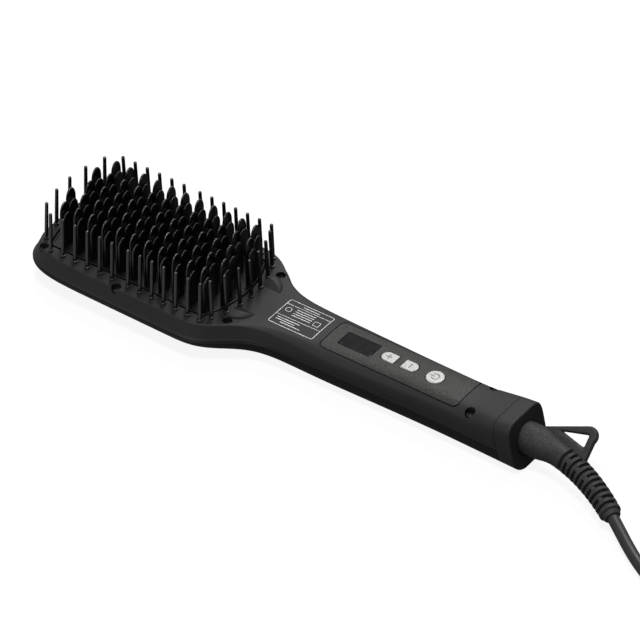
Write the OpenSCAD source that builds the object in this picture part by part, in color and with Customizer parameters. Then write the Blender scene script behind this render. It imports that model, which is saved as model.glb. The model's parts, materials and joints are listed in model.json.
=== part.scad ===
// Heated straightening brush: a wide head with heated comb plates and guard pins,
// a slim handle with a display and three buttons, and a swivelling cord.
// Millimetres. The brush lies on its back: floor at z = 0, bristles up, handle along +X.
// Lengths along the handle, called u, are counted from the middle of the bristle pad.

/* [Body] */
// length from the round tip to the foot of the end cap
body_l = 268.4; // [220:0.1:320]
// from the round tip to the middle of the pad
tip_l = 59; // [50:0.5:75]
// width of the head
head_w = 71.5; // [60:0.5:90]
// width of the neck, where the handle begins
neck_w = 31.8; // [26:0.1:40]
// width of the handle at its slimmest
grip_w = 26.8; // [22:0.1:36]
// width added at the tail
tail_flare = 0.5; // [0:0.1:3]
// height of the flat deck round the pad
deck_z = 20; // [17:0.1:26]
// height of the parting line between the two shells
seam_z = 12; // [9:0.1:15]
// height of the handle under the display
grip_z = 21.15; // [18:0.05:27]
// height of the handle at the power button
button_z = 22.75; // [19:0.05:28]
// height of the handle at the tail
tail_z = 26.1; // [22:0.1:32]
// thickness of the shells
wall = 2.2; // [1.6:0.1:3]

/* [Head shape] */
// how far the side of the head leans in by the deck
draft = 3; // [1:0.1:5]
// rounding of the deck's edge
edge_r = 0.8; // [0.4:0.1:2]
// squareness of the round tip
tip_square = 4.7; // [2.5:0.1:6]
// where the shoulder starts
shoulder_u = 25.5; // [10:0.5:35]
// where the shoulder has run out into the neck
neck_u = 132.5; // [110:0.5:150]

/* [Pad] */
// width of the deck on each side of the pad
deck_rim = 10.45; // [8:0.05:16]
// radius of the opening's end towards the handle
pad_r_handle = 50; // [35:1:90]
// reach of the opening towards the handle
pad_handle = 49.6; // [40:0.1:60]
// radius of the opening's end towards the tip
pad_r_tip = 65; // [40:1:90]
// reach of the opening towards the tip
pad_tip = 52; // [40:0.1:60]
// rounding of the opening's corners
pad_corner = 3.5; // [2:0.1:6]
// gap between the opening and the heated plate
pad_gap = 1; // [0.4:0.1:2]

/* [Teeth] */
// distance between teeth along a row
tooth_pitch = 8.2; // [6:0.1:12]
// from the heated plate's edge to the outer rows
row_margin = 1.7; // [0.8:0.1:4]
// teeth in the first, third and fifth rows
row_teeth = 11; // [7:1:12]
// height of a guard leaf above the deck
leaf_h = 24.4; // [15:0.1:30]
// width of a guard leaf
leaf_w = 6.8; // [5:0.1:7]
// thickness of a guard leaf
leaf_t = 0.9; // [0.6:0.1:1.5]
// height of a heated fin above the deck
fin_h = 18.5; // [10:0.1:23]
// width of a heated fin
fin_w = 6.4; // [4:0.1:7]
// thickness of a heated fin
fin_t = 1.2; // [0.8:0.1:2]
// gap between a leaf, its slot and its fin
tooth_gap = 0.1; // [0.05:0.05:0.3]

/* [Guard pins] */
// height of a pin above the deck
pin_h = 21.3; // [14:0.1:26]
// thickness of a pin
pin_d = 1.9; // [1.4:0.1:2.5]
// distance of the pins from the pad's opening
pin_off = 2.8; // [2.2:0.1:4]
// how far a pin leans in over its height
pin_lean = 1; // [0:0.1:2]

/* [Controls] */
// from the inlaid panel to the tail
panel_back = 35; // [32:0.1:45]
// length of the inlaid panel
panel_l = 76.5; // [60:0.1:90]
// width of the inlaid panel
panel_w = 21; // [16:0.1:22]
// thickness of the inlaid panel
panel_t = 1; // [0.6:0.1:1.2]
// groove round the panel
panel_gap = 0.2; // [0.1:0.05:0.4]
// from the panel's start to the display
display_in = 6.8; // [3:0.1:12]
// length of the display
display_l = 18.1; // [12:0.1:24]
// width of the display
display_w = 9.3; // [6:0.1:14]
// width of the plus and minus buttons
key_w = 6.2; // [4:0.1:9]
// length of the plus and minus buttons
key_l = 7.9; // [5:0.1:10]
// from the display to the plus button
key_after = 3.7; // [2:0.1:8]
// space between the plus and minus buttons
key_space = 3.8; // [2:0.1:8]
// from the minus button to the power button
power_after = 5.2; // [2:0.1:8]
// width of the power button
power_d = 8.8; // [6:0.1:12]
// height of the buttons above the panel
key_proud = 0.5; // [0.2:0.1:1.5]
// travel of the buttons
key_travel = 0.3; // [0.2:0.05:0.4]
// gap round the buttons
key_gap = 0.2; // [0.1:0.05:0.4]

/* [Cord end] */
// lean of the end face, in height per length
end_lean = 0.22; // [0:0.01:0.4]
// length of the end cap
cap_l = 8.7; // [6:0.1:14]
// height of the swivel
swivel_z = 13; // [11:0.1:15]
// opening in the end cap
outlet_d = 16; // [12:0.1:17]
// thickness of the cord guard in the opening
elbow_d = 15.4; // [11:0.1:16.4]
// thickness of the swivel's journal
journal_d = 10; // [8:0.1:11]
// running clearance of the journal, on the radius
journal_gap = 0.05; // [0.02:0.01:0.1]
// thickness of the cord guard's ribs
rib_d = 11.6; // [9:0.1:14]
// distance between the ribs
rib_pitch = 3.4; // [2.5:0.1:5]
// number of ribs
ribs = 11; // [6:1:12]
// thickness of the cord
cord_d = 5.6; // [5:0.1:7]

/* [Hidden] */
$fn = 32;
eps = 0.02;
pad_x = tip_l - body_l / 2;
tail_u = body_l - tip_l;
end_u = tail_u + 8;

// The round tip spans the head's width; it is centred here and reaches the tip.
tip_c = -8;
tip_r = tip_l + tip_c;
half_head = head_w / 2;
pad_w = head_w - 2 * deck_rim;
half_pad = pad_w / 2;
row_pitch = (half_pad - pad_gap - row_margin - leaf_w / 2) / 2;

// The controls follow one another from the panel's start.
panel_u = tail_u - panel_back - panel_l;
display_u = panel_u + display_in;
key_u = display_u + display_l + key_after + key_l + key_space / 2;
power_u = key_u + key_space / 2 + key_l + power_after + power_d / 2;

// Teeth and pins stand off the deck.
leaf_u = -tooth_gap - leaf_t / 2;
fin_u = tooth_gap + fin_t / 2;
leaf_arch = 6;
fin_arch = 4.9;
outer_drop = 0.5;
pin_far = 43.8;
pin_mid = [-7.2, 2.2];

// The heated plate and what lies beneath it, from the top down.
plate_z = deck_z - 0.6;
plate_t = 1.5;
plate_under = plate_z - plate_t;
rim_t = 0.7;
comb_t = 1.6;
rib_h = 1.9;
strip_w = leaf_w + 0.2;
rib_t = row_pitch - strip_w - 0.3;
rib_l = 74;
element_t = 1.8;
element_top = plate_under - rib_h;
press_t = 0.8;
press_top = element_top - element_t;
mica_t = 1;
mica_top = press_top - press_t;
tray_z = 6.5;
tray_t = 1.5;
tray_wall = 1.3;
clamp_t = 1.5;
pin_bar_t = 1.5;

// Screw places, as [u, y] on the near and far side, and their sizes.
head_screw_at = [[-48.2, half_pad + 2.2], [-2.3, half_pad + 5.8], [54, half_pad - 4.8]];
tail_screw_at = [tail_u - 28, 9.7];
well_d = 4.8;
well_deep = 2.6;
screw_head_d = 4.2;
screw_head_h = 1.6;
screw_d = 2.2;
screw_end_z = 9;
boss_d = 6.4;
tail_boss_d = 5.2;
boss_gap = 0.4;

// Electronics in the handle.
board_u = [panel_u + 2.1, panel_u + 70.1];
board_w = 18;
board_t = 1.6;
board_z = 12.4;
board_post_d = 4.4;
board_post = [[board_u[0] + 3, 6.4], [board_u[1] - 3, 6.4]];
switch_s = 6;
switch_h = 3.1;
dome_h = 0.4;
dome_d = 3.4;
ion_u = [pad_handle + 16.4, pad_handle + 42.4];
ion_w = 7;
ion_h = 4.6;
ion_z = 4.2;
mains_u = [ion_u[1] + 6, ion_u[1] + 48];
mains_w = 8;
mains_z = 4.4;

// The swivel, along u at swivel_z.
face_u = tail_u - end_lean * swivel_z;
cap_wall = 2.6;
socket_u = [face_u - 19, face_u - 6.5];
socket_d = 14;
play = 0.3;
stub_d = 7;
stub_u = face_u - 34.5;
clip_t = 2;
clip_d = 13;
slip_d = 9;
slip_w = 2.4;
slip_u = [face_u - 32.5, face_u - 27.5];
contact_y = slip_d / 2 + play;
contact_z = 3.4;
contact_l = slip_u[1] - slip_u[0] + slip_w + 2;
bulkheads = [face_u - 18, face_u - 13.5];
bulkhead_t = 2;

// Hoods of the two outlets beside the pad.
hood_u = 51.8;
hood_l = 9.7;
inner_pin = 0.308;
hood_in = inner_pin * half_pad + 1.2;
hood_out = 9.3;
hood_crest = 4.8;
hood_h = 2.4;
hood_sunk = 0.4;

// Cord route, chosen by hand, from the cord guard to the coil and on to the plug.
face_x = face_u + pad_x;
guard_bend = [face_x + 6.66, 16.3, 4.6, 48];
guard_end_x = face_x + 56.66;
lead_route = [[194.5, -21.7, 6.6], [202, -26.5, 5], [210, -31.3, 3.9],
    [219, -36.1, 3.4], [229, -40.8, 3.4], [239, -45, 3.4], [246, -47.6, 3.4]];
coil_c = [258, -4];
coil_in = 22.5;
coil_pitch = 6.2;
coil_turns = 7.25;
coil_z = 3.4;
coil_rings = 24;
tail_route = [[303.4, 10, 9.3], [302.8, 21, 7.4], [300.2, 33.5, 5], [294, 45, 3.6],
    [284.5, 53.4, 3.4], [274, 57.7, 3.9], [264, 59, 4.7], [258, 59, 4.8]];
plug_at = [258, 59];
plug_z = 4.8;
plug_l = 30;
plug_w = 22;
plug_h = 9.4;
blade_l = 17;
blade_h = 6.3;
blade_t = 1.5;
blade_space = 12.7;

// ---- shape functions ----

function ramp(t) = let (k = min(1, max(0, t))) k * k * (3 - 2 * k);

// A smooth curve through stations [u, value].
function slope_at(s, i) = let (a = max(0, i - 1), b = min(len(s) - 1, i + 1))
    (s[b][1] - s[a][1]) / (s[b][0] - s[a][0]);
function smooth(s, u, i = 0) =
    u <= s[0][0] ? s[0][1] :
    i < len(s) - 2 && u > s[i + 1][0] ? smooth(s, u, i + 1) :
    let (span = s[i + 1][0] - s[i][0], t = min(1, (u - s[i][0]) / span), t2 = t * t, t3 = t2 * t)
    (2 * t3 - 3 * t2 + 1) * s[i][1] + (t3 - 2 * t2 + t) * span * (i == 0 ? 0 : slope_at(s, i))
    + (3 * t2 - 2 * t3) * s[i + 1][1] + (t3 - t2) * span * slope_at(s, i + 1);

// Height of the handle's back along its middle.
top_line = [[60, deck_z], [display_u, grip_z], [power_u, button_z], [tail_u - 29.4, button_z + 0.7],
    [tail_u - 3.4, tail_z], [end_u, tail_z + 1.6]];
function top_z(u) = smooth(top_line, u);
function top_tilt(u) = atan((top_z(u + 2) - top_z(u - 2)) / 4);

// Half width of the body at the parting line, past the round tip.
function shoulder(u) = u <= shoulder_u ? 1 : u >= neck_u ? 0 :
    1 / (1 + pow(2.456 * (u - shoulder_u) / (neck_u - u), 3.6));
slim_u = tail_u - 37.4;
function grip_half(u) = neck_w / 2 - (neck_w - grip_w) / 2 * ramp((u - 80) / (slim_u - 80))
    + tail_flare * pow(max(0, u - slim_u) / 43, 1.5);
function half_w(u) = grip_half(u) + (half_head - grip_half(u)) * shoulder(u);

// The outline of the round tip, as shares of its reach and of the half width.
tip_shares = concat(
    [for (a = [0.12, 0.28, 0.44, 0.58, 0.7, 0.79, 0.863]) [pow(1 - pow(a, tip_square), 1 / tip_square), a]],
    [for (a = [0.79, 0.7, 0.58, 0.44, 0.28, 0.12]) [a, pow(1 - pow(a, tip_square), 1 / tip_square)]]);
n_tip = len(tip_shares);

// One column per place round the outline, from the near side of the handle round the tip
// to the far side: [u, side, share of the tip's reach, share of the half width].
function columns(us, tip) = let (n = len(us)) concat(
    [for (i = [n - 1:-1:0]) [us[i], -1, 0, 1]],
    tip ? [for (i = [n_tip - 1:-1:0]) [tip_c, -1, tip_shares[i][0], tip_shares[i][1]]] : [],
    tip ? [[tip_c, 1, 1, 0]] : [],
    tip ? [for (s = tip_shares) [tip_c, 1, s[0], s[1]]] : [],
    [for (i = [0:n - 1]) [us[i], 1, 0, 1]]);

tail_us = [tail_u - 23.4, tail_u - 15.4, tail_u - 7.4, end_u];
grip_us = [for (i = [1:9]) 79 + (tail_us[0] - 79) * i / 10];
body_us = concat([tip_c, 8, 24, 32, 38, 43, 47.5, 51.5, 55, 58.5, 62.5, 67, 72, 79], grip_us, tail_us);
panel_us = [for (i = [0:10]) panel_u - 3 + (panel_l + 6) * i / 10];

// Upper half: twelve points of the section, from the parting line to the middle.
crown_a = [0, 10, 20, 30, 40, 50, 59, 67, 75, 81, 86];
flat_share = [0.78, 0.55, 0.32, 0.15, 0.04];
function deck_point(j, w, h) = let (r = edge_r, in = w - draft - edge_r)
    j == 0 ? [w, 0] :
    j == 1 ? [w - 0.45 * draft, 0.45 * (h - r)] :
    j <= 6 ? [in + r * cos(22.5 * (j - 2)), h - r + r * sin(22.5 * (j - 2))] :
    [in * flat_share[j - 7], h];
function crown_point(j, w, h, n) = j == 11 ? [0.04 * w, h] :
    [w * pow(cos(crown_a[j]), 2 / n), h * pow(sin(crown_a[j]), 2 / n)];
function upper_point(j, u, w, h) = let (
        t = ramp((u - 45) / 65),
        n = 3.3 + 1.7 * ramp((u - tail_u + 31.4) / 22),
        a = deck_point(j, w, h),
        b = crown_point(j, w, h, n))
    a + t * (b - a);
function upper_vertex(c, j, inset, drop) = let (
        u = c[0],
        w = (u <= tip_c ? half_head : half_w(u)) - inset,
        h = top_z(u) - inset - seam_z,
        p = upper_point(j, u, w, h),
        rim = upper_point(6, u, w, h),
        reach = tip_r - inset,
        r = j <= 6 ? reach - (w - p[0]) : (reach - (w - rim[0])) * p[0] / rim[0])
    [u - r * c[2], c[1] * c[3] * p[0], seam_z + p[1] - (j == 0 ? drop : 0)];

// Lower half: an oval belly, flattened where it rests on the floor.
belly_cut = 77;
function belly_s(j, n, cut) = cut * sin(belly_cut * j / n) / sin(belly_cut);
function lower_vertex(c, j, n, inset, drop) = let (
        u = c[0],
        w = (u <= tip_c ? half_head : half_w(u)) - inset,
        depth = seam_z + 0.3 - inset,
        s = belly_s(j, n, (seam_z - inset) / depth),
        p = 2 + 0.75 * ramp((u - 45) / 65),
        y = w * pow(1 - pow(s, p), 1 / p),
        r = (tip_r - inset) * pow(1 - pow(s, 3), 1 / 3))
    [u - r * c[2], c[1] * c[3] * y, seam_z - depth * s + (j == 0 ? drop : 0)];

// Skin over a grid of columns and levels, closed across its first and last level.
function flip(f) = [f[2], f[1], f[0]];
function grid_faces(n, m, up) = let (
        half = floor(n / 2),
        side = [for (j = [0:m - 2], i = [0:n - 1]) let (k = (i + 1) % n)
            each [[j * n + i, j * n + k, (j + 1) * n + k], [j * n + i, (j + 1) * n + k, (j + 1) * n + i]]],
        first = [for (i = [0:half - 1]) let (k = n - 1 - i)
            each concat(k > i + 1 ? [[i, k, k - 1]] : [], k - 1 > i + 1 ? [[i, k - 1, i + 1]] : [])],
        o = (m - 1) * n,
        last = [for (f = first) [o + f[0], o + f[2], o + f[1]]],
        all = concat(side, first, last))
    up ? all : [for (f = all) flip(f)];

module upper_body(us, tip, inset = 0, drop = 0, levels = [0:11]) {
    cols = columns(us, tip);
    js = [for (j = levels) j];
    polyhedron(
        points = [for (j = js, c = cols) upper_vertex(c, j, inset, drop)],
        faces = grid_faces(len(cols), len(js), true));
}

module lower_body(us, tip, inset = 0, drop = 0, steps = 8) {
    cols = columns(us, tip);
    polyhedron(
        points = [for (j = [0:steps], c = cols) lower_vertex(c, j, steps, inset, drop)],
        faces = grid_faces(len(cols), steps + 1, false));
}

module placed() {
    translate([pad_x, 0, 0]) children();
}

module both_sides() {
    children();
    mirror([0, 1, 0]) children();
}

// Everything past a leaning plane that crosses the floor at u.
module past(u) {
    translate([u, 0, 0]) rotate([0, -atan(end_lean), 0]) translate([0, -60, -60]) cube([60, 120, 140]);
}

module before(u) {
    translate([u, 0, 0]) rotate([0, -atan(end_lean), 0]) translate([-60, -60, -60]) cube([60, 120, 140]);
}

module along_u(u0, u1, d) {
    translate([u0, 0, swivel_z]) rotate([0, 90, 0]) cylinder(h = u1 - u0, d = d, $fn = 48);
}

// ---- outlines ----

// The pad's opening, drawn in by a distance.
function arc(c, r, a0, a1, n) = [for (i = [0:n]) let (a = a0 + (a1 - a0) * i / n)
    [c[0] + r * cos(a), c[1] + r * sin(a)]];
function pad_end(in, r_end, reach) = let (
        cx = reach - r_end,
        r = r_end - in,
        rc = pad_corner - in,
        y0 = half_pad - in - rc,
        x0 = cx + sqrt(pow(r - rc, 2) - y0 * y0),
        a = atan2(y0, x0 - cx))
    concat(arc([x0, -y0], rc, -90, -a, 4), arc([cx, 0], r, -a, a, 14), arc([x0, y0], rc, a, 90, 4));
function pad_outline(in) = concat(pad_end(in, pad_r_handle, pad_handle),
    [for (p = pad_end(in, pad_r_tip, pad_tip)) [-p[0], -p[1]]]);

module pad_shape(in) {
    polygon(pad_outline(in));
}

function arch_points(w, h, rise, n) = concat([[-w / 2, 0], [w / 2, 0]],
    [for (i = [0:n]) let (a = 180 * i / n) [w / 2 * cos(a), h - rise + rise * sin(a)]]);

// A plate that stands across the handle's direction, round at the top.
module arch_plate(u, y, z0, z1, w, t, rise) {
    translate([u + t / 2, y, z0]) rotate([90, 0, -90])
        linear_extrude(t) polygon(arch_points(w, z1 - z0, rise, 10));
}

function row_y(row) = (row - 2) * row_pitch;
function row_n(row) = row % 2 == 0 ? row_teeth : row_teeth + 1;
function tooth_u(row, i) = (i - (row_n(row) - 1) / 2) * tooth_pitch;

module each_tooth() {
    for (row = [0:4], i = [0:row_n(row) - 1])
        translate([tooth_u(row, i), row_y(row), 0]) {
            $row = row;
            children();
        }
}

// A rounded bar across the panel, as points.
function bar_points(u0, u1, w, r) = concat(arc([u1 - r, -w / 2 + r], r, -90, 0, 4),
    arc([u1 - r, w / 2 - r], r, 0, 90, 4), arc([u0 + r, w / 2 - r], r, 90, 180, 4),
    arc([u0 + r, -w / 2 + r], r, 180, 270, 4));

module bar(u0, u1, w, r, z0, z1) {
    translate([0, 0, z0]) linear_extrude(z1 - z0) polygon(bar_points(u0, u1, w, r));
}

module post(p, d, z0, z1) {
    translate([p[0], p[1], z0]) cylinder(h = z1 - z0, d = d);
}

// ---- tubes along a route ----

function unit(v) = v / norm(v);
function ahead(p, i) = unit(p[min(len(p) - 1, i + 1)] - p[max(0, i - 1)]);
function ring(c, dir, r, sides) = let (s = unit(cross(dir, [0, 0, 1])), up = cross(s, dir))
    [for (k = [0:sides - 1]) let (a = 360 * (k + 0.5) / sides) c + r * (cos(a) * s + sin(a) * up)];
function tube_faces(n, m) = concat(
    [for (i = [0:n - 2], k = [0:m - 1]) let (q = (k + 1) % m)
        each [[i * m + k, i * m + q, (i + 1) * m + q], [i * m + k, (i + 1) * m + q, (i + 1) * m + k]]],
    [for (k = [1:m - 2]) [0, k + 1, k]],
    [for (k = [1:m - 2]) [(n - 1) * m, (n - 1) * m + k, (n - 1) * m + k + 1]]);

// A closed tube through the points, with one radius or one per point.
module tube(p, r, sides, first = undef, last = undef) {
    n = len(p);
    polyhedron(
        points = [for (i = [0:n - 1]) each ring(p[i],
            i == 0 && first != undef ? first : i == n - 1 && last != undef ? last : ahead(p, i),
            is_list(r) ? r[i] : r, sides)],
        faces = tube_faces(n, sides));
}

function route_length(p) = len(p) < 2 ? 0 : [for (i = 0, s = 0; i < len(p); i = i + 1,
    s = i < len(p) ? s + norm(p[i] - p[i - 1]) : s) s][len(p) - 1];

// ---- shells ----

function screw_top(p) = top_z(p[0]) - (p[0] > neck_u ? 1.35 : 0);

module head_bosses(z0, z1) {
    both_sides() for (p = head_screw_at) post(p, boss_d, z0, z1);
    both_sides() post(tail_screw_at, tail_boss_d, z0, z1);
}

module screw_wells() {
    both_sides() for (p = concat(head_screw_at, [tail_screw_at])) {
        post(p, well_d, screw_top(p) - well_deep, screw_top(p) + 4);
        post(p, screw_d + 0.4, seam_z - 1, screw_top(p));
    }
}

module bulkhead_ribs() {
    for (u = bulkheads) translate([u, -20, 0]) cube([bulkhead_t, 40, 40]);
}

function skin_z(u) = top_z(u) - panel_t;

module panel_prism(grow) {
    bar(panel_u - grow, panel_u + panel_l + grow, panel_w + 2 * grow, 2.5, seam_z + 2, tail_z + 10);
}

module window_prism(grow) {
    bar(display_u - grow, display_u + display_l + grow, display_w + 2 * grow, 0.6, seam_z + 2, tail_z + 10);
}

// Outline of a key: straight at s = 0 and round at its far end.
function key_points(grow) = let (r = key_w / 2 + grow, c = key_l - key_w / 2)
    concat([[-grow, -r], [-grow, r]], arc([c, 0], r, 90, -90, 16));

module key_prism(side, grow, z0, z1) {
    translate([key_u + side * key_space / 2, 0, z0]) scale([side, 1, 1])
        linear_extrude(z1 - z0) polygon(key_points(grow));
}

module power_prism(grow, z0, z1) {
    translate([power_u, 0, z0]) cylinder(h = z1 - z0, d = power_d + 2 * grow);
}

module key_openings(grow, z0, z1) {
    key_prism(-1, grow, z0, z1);
    key_prism(1, grow, z0, z1);
    power_prism(grow, z0, z1);
}

function hood_c(i, n) = let (t = i / n) sqrt(max(0, 1 - t * t));
function hood_section(i, n) = let (
        c = max(0.12, hood_c(i, n)),
        u = hood_u + hood_l * i / n,
        y0 = hood_in + 0.3,
        yc = hood_in + hood_crest * pow(c, 1.2),
        y1 = hood_in + hood_out * c,
        h = hood_h * pow(c, 1.6) + 0.05)
    concat([[u, y0, -hood_sunk], [u, y0, 0], [u, yc - 0.25 * c, h - 0.06 * h]],
        [for (a = [78, 56, 34, 14, 0]) [u, yc + (y1 - yc) * cos(a), h * sin(a)]], [[u, y1, -hood_sunk]]);
function hood_plan(n) = concat([for (i = [0:n]) let (p = hood_section(i, n)[0]) [p[0], p[1]]],
    [for (i = [n:-1:0]) let (p = hood_section(i, n)[8]) [p[0], p[1]]]);

module hood_solid() {
    n = 6;
    m = 9;
    rows = [for (i = [0:n]) hood_section(i, n)];
    translate([0, 0, deck_z]) polyhedron(
        points = [for (s = rows) each s],
        faces = concat(
            [for (i = [0:n - 1], k = [0:m - 1]) let (q = (k + 1) % m)
                each [[i * m + k, i * m + q, (i + 1) * m + q], [i * m + k, (i + 1) * m + q, (i + 1) * m + k]]],
            [for (k = [1:m - 2]) [0, k + 1, k]],
            [for (k = [1:m - 2]) [n * m, n * m + k, n * m + k + 1]]));
}

module hood_pocket(z0, z1) {
    translate([0, 0, z0]) linear_extrude(z1 - z0) polygon(hood_plan(6));
}

needle_at = [hood_u + 2.4, hood_in + 4];
needle_d = 0.8;

module top_shell() {
    color("#2e2e2e") placed() difference() {
        upper_body(body_us, true);
        difference() {
            upper_body(body_us, true, wall, 1, [0, 2, 4, 6, 7, 8, 9, 10, 11]);
            head_bosses(seam_z, deck_z + 5);
            difference() {
                bulkhead_ribs();
                along_u(bulkheads[0] - 1, face_u, socket_d);
            }
        }
        translate([0, 0, seam_z - 1]) linear_extrude(20) pad_shape(0);
        screw_wells();
        pin_places() pin_hole();
        both_sides() hood_pocket(deck_z - hood_sunk, deck_z + 2);
        both_sides() post(needle_at, needle_d + 0.4, seam_z - 1, deck_z);
        difference() {
            panel_prism(panel_gap);
            upper_body(panel_us, false, panel_t);
        }
        key_openings(key_gap, seam_z, tail_z + 5);
        window_prism(-0.8);
        past(tail_u - cap_l);
    }
}

module bottom_shell() {
    color("#1e1e1e") placed() difference() {
        lower_body(body_us, true);
        difference() {
            lower_body(body_us, true, wall, 1, 5);
            head_bosses(0, seam_z);
            both_sides() for (u = [-30, 30]) post([u, 12], 5, 0, tray_z);
            both_sides() for (p = board_post) post(p, board_post_d, 0, board_z);
            for (u = [mains_u[0] + 5, mains_u[1] - 7]) translate([u, -3, 0]) cube([2, 6, mains_z]);
            for (u = [ion_u[0] + 4, ion_u[1] - 6]) translate([u, -20, 0]) cube([2, 40, ion_z]);
            translate([slip_u[0] - 1, contact_y - 1, 0]) cube([contact_l, 3, contact_z]);
            difference() {
                bulkhead_ribs();
                along_u(bulkheads[0] - 1, face_u, socket_d);
            }
        }
        both_sides() for (p = concat(head_screw_at, [tail_screw_at]))
            post(p, screw_d, screw_end_z - 0.4, seam_z + 1);
        both_sides() for (p = board_post) post(p, 1.6, board_z - 5.4, board_z + 1);
        past(tail_u - cap_l);
    }
}

module end_cap() {
    color("#262626") placed() difference() {
        union() {
            upper_body(tail_us, false);
            lower_body(tail_us, false);
        }
        before(tail_u - cap_l);
        past(tail_u);
        difference() {
            union() {
                upper_body(tail_us, false, wall, 0, [0, 2, 4, 6, 8, 11]);
                lower_body(tail_us, false, wall, 0, 5);
            }
            past(tail_u - cap_wall);
        }
        along_u(face_u - 20, face_u + 20, outlet_d);
    }
}

module control_panel() {
    color("#333231") placed() difference() {
        intersection() {
            upper_body(panel_us, false);
            panel_prism(0);
        }
        upper_body(panel_us, false, panel_t);
        window_prism(0.1);
        key_openings(key_gap, seam_z, tail_z + 5);
    }
}

module display_window() {
    color("#1c1c1e") placed() difference() {
        intersection() {
            upper_body(panel_us, false);
            window_prism(0);
        }
        upper_body(panel_us, false, panel_t);
    }
}

// ---- electronics ----

board_top = board_z + board_t;

module display_module() {
    u0 = display_u + 1.1;
    color("#d8d8d2") placed() intersection() {
        bar(u0, display_u + display_l - 1.1, display_w - 2.2, 0.4, board_top, tail_z);
        translate([u0, 0, skin_z(u0) - 0.1]) rotate([0, -top_tilt(display_u + display_l / 2), 0])
            translate([-5, -20, -20]) cube([40, 40, 20]);
    }
}

module tact_switches() {
    color("#4a4a4c") placed() for (u = [key_u - key_c, key_u + key_c, power_u]) {
        translate([u - switch_s / 2, -switch_s / 2, board_top]) cube([switch_s, switch_s, switch_h]);
        post([u, 0], dome_d, board_top, board_top + switch_h + dome_h);
    }
}

module control_board() {
    color("#1f4d33") placed() difference() {
        union() {
            bar(board_u[0], board_u[1], board_w, 1, board_z, board_top);
            translate([board_u[0] + 26, -8, board_top]) cube([5, 4, 1.2]);
            translate([board_u[0] + 46, 3, board_top]) cube([4, 5, 1.2]);
        }
        both_sides() for (p = board_post) post(p, 2, board_z - 1, board_top + 1);
    }
}

module power_board() {
    u0 = mains_u[0];
    color("#8a6d3b") placed() {
        bar(u0, mains_u[1], mains_w, 1, mains_z, mains_z + 1.6);
        translate([u0 + 4, -3.5, mains_z + 1.6]) cube([14, 7, 5.4]);
        translate([u0 + 20, -3.2, mains_z + 1.6]) cube([8, 6.4, 4.4]);
        post([u0 + 35, 0], 6.4, mains_z + 1.6, mains_z + 7);
    }
}

// ---- buttons ----

stem_d = 3;
flange = 0.9;
flange_t = 0.8;
under_gap = 0.1;
stem_z = board_top + switch_h + dome_h + key_travel + 0.05;

// A cap whose top follows the panel, with a flange under the shell and a stem to its switch.
module button(u) {
    flange_z = min(top_z(u - 5), top_z(u + 5)) - wall - under_gap;
    color("#c9c9c9") placed() {
        intersection() {
            union() {
                children(0);
                intersection() {
                    children(1);
                    translate([u - 20, -20, flange_z - flange_t]) cube([40, 40, flange_t]);
                }
            }
            translate([u, 0, top_z(u) + key_proud]) rotate([0, -top_tilt(u), 0])
                translate([-20, -20, -20]) cube([40, 40, 20]);
            translate([u - 20, -20, flange_z - flange_t]) cube([40, 40, 30]);
        }
        post([u, 0], stem_d, stem_z, flange_z - flange_t + eps);
    }
}

key_c = key_space / 2 + key_l / 2;

module plus_button() {
    button(key_u - key_c) {
        key_prism(-1, 0, seam_z, tail_z + 5);
        key_prism(-1, flange, seam_z, tail_z + 5);
    }
}

module minus_button() {
    button(key_u + key_c) {
        key_prism(1, 0, seam_z, tail_z + 5);
        key_prism(1, flange, seam_z, tail_z + 5);
    }
}

module power_button() {
    button(power_u) {
        power_prism(0, seam_z, tail_z + 5);
        power_prism(flange, seam_z, tail_z + 5);
    }
}

// ---- heated pad ----

module heater_plate() {
    color("#3a3a3c") placed() {
        difference() {
            union() {
                translate([0, 0, plate_under]) linear_extrude(plate_t) pad_shape(pad_gap);
                translate([0, 0, plate_under]) linear_extrude(deck_z - plate_under) difference() {
                    pad_shape(pad_gap);
                    pad_shape(pad_gap + rim_t);
                }
            }
            each_tooth() translate([leaf_u - leaf_t / 2 - tooth_gap, -leaf_w / 2 - tooth_gap, plate_under - 1])
                cube([leaf_t + 2 * tooth_gap, leaf_w + 2 * tooth_gap, plate_t + 2]);
        }
        each_tooth() arch_plate(fin_u, 0, plate_z, deck_z + fin_h, fin_w, fin_t, fin_arch);
        for (k = [-1.5:1:1.5]) translate([-rib_l / 2, k * row_pitch - rib_t / 2, plate_under - rib_h])
            cube([rib_l, rib_t, rib_h]);
    }
}

comb_bars = [-44, 41];
comb_bar_w = 3;

module leaf_comb() {
    color("#242424") placed() {
        intersection() {
            for (row = [0:4]) {
                reach = (row_n(row) - 1) / 2 * tooth_pitch;
                u0 = min(comb_bars[0], -reach + leaf_u - 1.2);
                translate([u0, row_y(row) - strip_w / 2, plate_under - comb_t])
                    cube([reach - u0, strip_w, comb_t]);
            }
            translate([0, 0, plate_under - comb_t]) linear_extrude(comb_t) pad_shape(pad_gap + tray_wall + 0.2);
        }
        for (u = [comb_bars[0], comb_bars[1] - comb_bar_w])
            translate([u, -2 * row_pitch, plate_under - comb_t]) cube([comb_bar_w, 4 * row_pitch, comb_t]);
        each_tooth() arch_plate(leaf_u, 0, plate_under - 0.5,
            deck_z + leaf_h - ($row == 0 || $row == 4 ? outer_drop : 0), leaf_w, leaf_t, leaf_arch);
    }
}

// Guard pins stand along the opening: two groups on each long side and a few at each end.
function side_pins() = concat(
    [for (i = [0:5]) pin_mid[0] + (-pin_far + 0.3 - pin_mid[0]) * i / 5],
    [for (i = [0:6]) pin_mid[1] + (pin_far - pin_mid[1]) * i / 6]);
function end_pin(y, r_end, reach) = reach - r_end + sqrt(pow(r_end + pin_off, 2) - y * y);

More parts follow.
